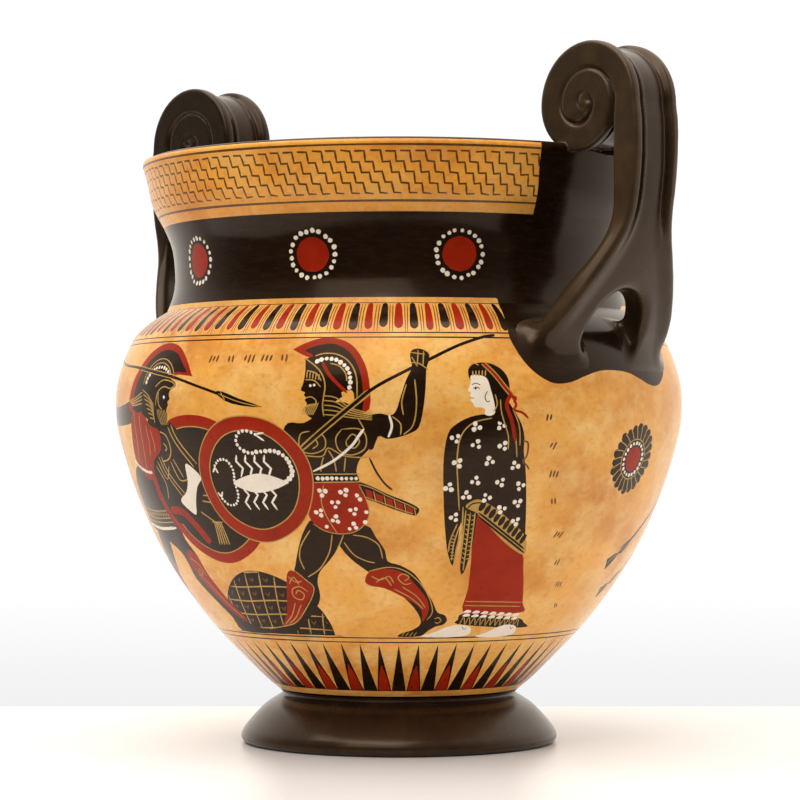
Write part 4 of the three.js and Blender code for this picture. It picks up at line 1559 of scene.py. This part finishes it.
def clouds(
    tree: bpy.types.NodeTree, place: bpy.types.NodeSocket, size: float, detail: float, roughness: float = 0.5,
) -> bpy.types.NodeSocket:
    """Soft noise, with clouds of a size in mm and finer layers in them."""
    return add_node(
        tree, "ShaderNodeTexNoise", in_Vector=place, in_Scale=1000 / size, in_Detail=detail, in_Roughness=roughness,
    ).outputs["Fac"]


def tint(
    tree: bpy.types.NodeTree, under: object, shade: str, noise: bpy.types.NodeSocket,
    limits: tuple[float, float], most: float,
) -> bpy.types.NodeSocket:
    """Lays a shade over a colour, from nothing at a noise's lower limit to the most at its upper one."""
    share = add_node(
        tree, "ShaderNodeMapRange", in_Value=noise, in_1=limits[0], in_2=limits[1], in_3=0.0, in_4=most,
    ).outputs["Result"]
    return add_node(
        tree, "ShaderNodeMix", data_type="RGBA", in_0=share, in_6=under, in_7=linear(shade),
    ).outputs[2]


@dataclass(frozen=True)
class Finish:
    """A fired colour: its shade, the cloudy darker and paler patches in it, and its gloss."""

    name: str
    shade: str
    deep: str
    pale: str
    patch: float = 22.0
    deepness: float = 0.5
    paleness: float = 0.4
    roughness: float = 0.2
    sheen: float = 0.4
    grain: float = 0.06
    stretch: float = 1.0
    speck: float = 0.0
    speck_size: float = 2.4
    gloss_size: float = 3.0
    ripple_size: float = 9.0
    gleam: str = "FFE2C8"

    def material(self) -> bpy.types.Material:
        """Builds the material."""
        made = bpy.data.materials.new(self.name)
        made.use_nodes = True
        tree = made.node_tree
        shader = tree.nodes["Principled BSDF"]
        place = add_node(tree, "ShaderNodeTexCoord").outputs["Object"]
        stretch = add_node(
            tree, "ShaderNodeMapping", in_Vector=place, in_Scale=(1, 1, self.stretch),
        ).outputs["Vector"]
        color = self.shade_node(tree, stretch)
        tree.links.new(color, shader.inputs["Base Color"])
        shader.inputs["Specular IOR Level"].default_value = self.sheen
        shader.inputs["Specular Tint"].default_value = linear(self.gleam)
        if not self.grain:
            shader.inputs["Roughness"].default_value = self.roughness
            return made
        gloss = add_node(
            tree, "ShaderNodeMapRange", in_Value=clouds(tree, place, self.gloss_size, 3.0),
            in_3=self.roughness * 0.85, in_4=self.roughness * 1.25,
        ).outputs["Result"]
        tree.links.new(gloss, shader.inputs["Roughness"])
        bump = add_node(
            tree, "ShaderNodeBump", in_Strength=0.5, in_Distance=self.grain * MM,
            in_Height=clouds(tree, stretch, self.ripple_size, 3.0),
        ).outputs["Normal"]
        tree.links.new(bump, shader.inputs["Normal"])
        return made

    def shade_node(self, tree: bpy.types.NodeTree, place: bpy.types.NodeSocket) -> bpy.types.NodeSocket:
        """Clouds the shade with its darker and paler patches.

        Args:
            tree: The material's nodes.
            place: Where on the surface they are read.

        Returns:
            The colour.
        """
        broad = clouds(tree, place, self.patch, 5.0, 0.6)
        fine = clouds(tree, place, self.patch * 0.4, 6.0, 0.65)
        color = tint(tree, linear(self.shade), self.deep, broad, (0.46, 0.74), self.deepness)
        color = tint(tree, color, self.pale, fine, (0.46, 0.72), self.paleness)
        if not self.speck:
            return color
        flecks = clouds(tree, place, self.speck_size, 3.0, 0.6)
        return tint(tree, color, self.deep, flecks, (0.5, 0.72), self.speck)


# Attic clay fired orange, clouded where it is brushed with thinned ochre, under a clear gloss.
CLAY = Finish("attic_clay", "F5B457", "C47020", "FFDA90", patch=52, deepness=0.9, paleness=0.75,
              roughness=0.22, stretch=1.25, speck=0.3)
# The rim's clay under a second coat of yellow ochre, which leaves it a stronger orange.
OCHRE = Finish("ochre_clay", "FFB34A", "CC6C1A", "FFD07C", patch=52, deepness=0.75, paleness=0.6,
               roughness=0.22, stretch=1.25, speck=0.3)
# Iron-rich slip fired to a brown black, glossy, with the fine rings of the brush on the turning wheel.
SLIP = Finish("black_slip", "1F1209", "130B06", "382414", patch=18, deepness=0.8, paleness=0.45, roughness=0.17,
              sheen=0.25, stretch=4.0, speck=0.12)
# Added red, an iron oxide paint.
RED = Finish("added_red", "A2240B", "801A06", "B63214", patch=14, deepness=0.6, paleness=0.35, roughness=0.28,
             sheen=0.2)
# Added white, a pipe clay paint that fires to cream.
CREAM = Finish("added_white", "FAF0E0", "ECDCC2", "FFFAF0", patch=9, deepness=0.6, paleness=0.5, roughness=0.32)
# The clay shown through by a needle's line.
INCISED = Finish("incised_line", "C0984C", "987438", "D8B468", patch=5, deepness=0.6, paleness=0.4, roughness=0.3)
# Slip brushed thin, which fires to a brown wash.
WASH = Finish("thin_slip", "684220", "482C16", "8A5C30", patch=6, deepness=0.7, paleness=0.5, roughness=0.26)
# Slip over the turned foot, browner and less glossy.
FOOT = Finish("foot_slip", "2E2016", "20160F", "46321F", patch=24, deepness=0.7, paleness=0.4, roughness=0.21,
              sheen=0.34)


def handle_material(name: str, thick: Finish, worn: Finish) -> bpy.types.Material:
    """A handle's slip: black where it pooled in the channel, browner and duller on the flanges.

    Args:
        name: What the material is called.
        thick: The slip's finish where it lies thick.
        worn: Its finish where it is thin or rubbed; on the left handle a darker copy of it, which is painted shade.

    Returns:
        The material.
    """
    made = worn.material()
    made.name = name
    tree = made.node_tree
    shader = tree.nodes["Principled BSDF"]
    mask = add_node(tree, "ShaderNodeAttribute", attribute_name="thick_slip").outputs["Fac"]
    place = add_node(tree, "ShaderNodeTexCoord").outputs["Object"]
    under = shader.inputs["Base Color"].links[0].from_socket
    over = thick.shade_node(tree, place)
    both = add_node(tree, "ShaderNodeMix", data_type="RGBA", in_0=mask, in_6=under, in_7=over).outputs[2]
    tree.links.new(both, shader.inputs["Base Color"])
    dull = shader.inputs["Roughness"].links[0].from_socket
    gloss = add_node(tree, "ShaderNodeMix", data_type="FLOAT", in_0=mask, in_2=dull, in_3=thick.roughness)
    tree.links.new(gloss.outputs[0], shader.inputs["Roughness"])
    return made


# Handles' flanges, where the slip is rubbed thin over the brown body.
WORN = Finish("worn_slip", "3A2D1F", "291F16", "504028", patch=20, deepness=0.7, paleness=0.5, roughness=0.3)
# The left handle's flanges, a darker copy of the worn slip and nearly black: painted shade.
SHADED_WORN = Finish("shaded_worn_slip", "241B12", "19120C", "33281B", patch=20, deepness=0.7, paleness=0.5, roughness=0.24,
              sheen=0.3)


# ---- The studio ----


@dataclass
class Studio:
    """A pale table, a white room and big soft lights, with the camera three-quarters on."""

    turn: float = math.radians(45)
    distance: float = 1.25678
    eye_height: float = 0.13288
    look_up: float = math.radians(0.884)
    aside: float = 0.00045
    lens: float = 126.24
    table_behind: float = 0.166
    table_front: float = 0.34
    dim: float = 0.12
    bright: float = 1.15
    overhead: float = 0.4
    warmth: str = "FFF6EA"

    def along(self, right: float, back: float, up: float) -> Vector:
        """A place given as the camera sees it: to its right, away behind the pot, and up."""
        c, s = math.cos(self.turn), math.sin(self.turn)
        return Vector((right * c - back * s, right * s + back * c, up))

    def camera(self) -> None:
        """Stands the camera."""
        data = bpy.data.cameras.new("camera")
        data.lens, data.sensor_width = self.lens, 36.0
        data.clip_end = 30.0
        camera = stand("camera", data)
        camera.location = self.along(self.aside, -self.distance, self.eye_height)
        camera.rotation_euler = (math.pi / 2 + self.look_up, 0, self.turn)
        bpy.context.scene.camera = camera

    def table(self) -> None:
        """Lays the table, a pale slab whose far edge shows behind the pot."""
        half, edge = 0.75, 0.004
        rows = [(self.table_behind, -0.03), (self.table_behind, -edge), (self.table_behind - edge, 0.0),
                (edge - self.table_front, 0.0), (-self.table_front, -edge), (-self.table_front, -0.03)]
        spots = [self.along(side * half, back, up) for back, up in rows for side in (-1, 1)]
        faces = [(2 * k + 1, 2 * k, 2 * k + 2, 2 * k + 3) for k in range(len(rows) - 1)]
        mesh = bpy.data.meshes.new("table")
        mesh.from_pydata([tuple(s) for s in spots], [], faces)
        mesh.materials.append(
            Finish("table", "E8EAF0", "E2E4EA", "EDEFF5", patch=300, roughness=0.28, grain=0.0).material(),
        )
        table = stand("table", mesh)

    def light(self, name: str, place: Vector, target: Vector, size: tuple[float, float], power: float) -> None:
        """Hangs one soft light.

        Args:
            name: The light's name.
            place: Where it hangs.
            target: What it faces.
            size: Its width and height in metres.
            power: Its power in watts.
        """
        data = bpy.data.lights.new(name, "AREA")
        data.shape, data.size, data.size_y, data.energy = "RECTANGLE", *size, power
        data.color = linear(self.warmth)[:3]
        lamp = stand(name, data)
        lamp.location = place
        lamp.rotation_euler = (target - place).to_track_quat("-Z", "Y").to_euler()

    def room(self) -> None:
        """Whitens the room, brightest behind the pot and dim on the camera's side, and hangs the lights."""
        world = bpy.data.worlds.new("room")
        world.use_nodes = True
        tree = world.node_tree
        way = add_node(tree, "ShaderNodeTexCoord").outputs["Generated"]
        back = self.along(0.4, 1, 0).normalized()
        behind = add_node(tree, "ShaderNodeVectorMath", operation="DOT_PRODUCT", in_0=way, in_1=back).outputs["Value"]
        depth = add_node(
            tree, "ShaderNodeMapRange", interpolation_type="SMOOTHSTEP", in_Value=behind, in_1=-0.55, in_2=0.65,
            in_3=self.dim, in_4=self.bright,
        ).outputs["Result"]
        up = add_node(tree, "ShaderNodeSeparateXYZ", in_0=way).outputs["Z"]
        ceiling = add_node(
            tree, "ShaderNodeMapRange", interpolation_type="SMOOTHSTEP", in_Value=up, in_1=0.15, in_2=0.9,
            in_3=0.0, in_4=self.overhead,
        ).outputs["Result"]
        light = add_node(tree, "ShaderNodeMath", operation="ADD", in_0=depth, in_1=ceiling).outputs["Value"]
        wall = add_node(
            tree, "ShaderNodeMapRange", interpolation_type="SMOOTHSTEP", in_Value=up, in_1=-0.1, in_2=-0.03,
            in_3=0.88, in_4=1.05,
        ).outputs["Result"]
        seen = add_node(tree, "ShaderNodeLightPath").outputs["Is Camera Ray"]
        strength = add_node(tree, "ShaderNodeMix", data_type="FLOAT", in_0=seen, in_2=light, in_3=wall).outputs[0]
        tint = add_node(
            tree, "ShaderNodeMix", data_type="RGBA", in_0=seen, in_6=linear(self.warmth), in_7=(1, 1, 1, 1),
        ).outputs[2]
        tree.links.new(strength, tree.nodes["Background"].inputs["Strength"])
        tree.links.new(tint, tree.nodes["Background"].inputs["Color"])
        bpy.context.scene.world = world
        bpy.context.scene.view_settings.view_transform = "Standard"
        middle = Vector((0, 0, 0.14))
        self.light("top_soft", self.along(-0.3, -0.3, 1.7), middle, (1.8, 1.6), 28)
        self.light("front_soft", self.along(-0.6, -1.7, 1.7), middle, (1.8, 1.4), 16)

    def build(self) -> None:
        """Sets the whole studio up."""
        self.camera()
        self.table()
        self.room()


def main() -> None:
    """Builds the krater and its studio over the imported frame."""
    logging.basicConfig(level=logging.INFO, format="%(name)s: %(message)s")
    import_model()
    Studio().build()
    profile = Profile()
    canvas = Canvas(profile)
    for layer in (RayBand, Frieze, TongueBand, NeckDiscs, RimBand, HandleRoots):
        layer(canvas).paint()
    finishes = [f.material() for f in (CLAY, SLIP, RED, CREAM, INCISED, WASH, FOOT, OCHRE)]
    right_slip = handle_material("handle_slip", SLIP, WORN)
    # The left handle's flanges take the darker copy of the worn slip, which is painted shade.
    shaded_left_slip = handle_material("shaded_handle_slip", SLIP, SHADED_WORN)
    pieces = [
        Vessel(profile, canvas).build(finishes),
        Handle(profile).build("krater_handle_right", right_slip, False),
        Handle(profile, top=302.2, scroll_radius=27.4, scroll_middle=127.6, outer_radius=128).build(
            "krater_handle_left", shaded_left_slip, True,
        ),
    ]
    for piece in pieces:
        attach(piece, "root")
        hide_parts("krater")
        LOG.info("%s: %d faces", piece.name, len(piece.data.polygons))


if __name__ == "__main__":
    main()
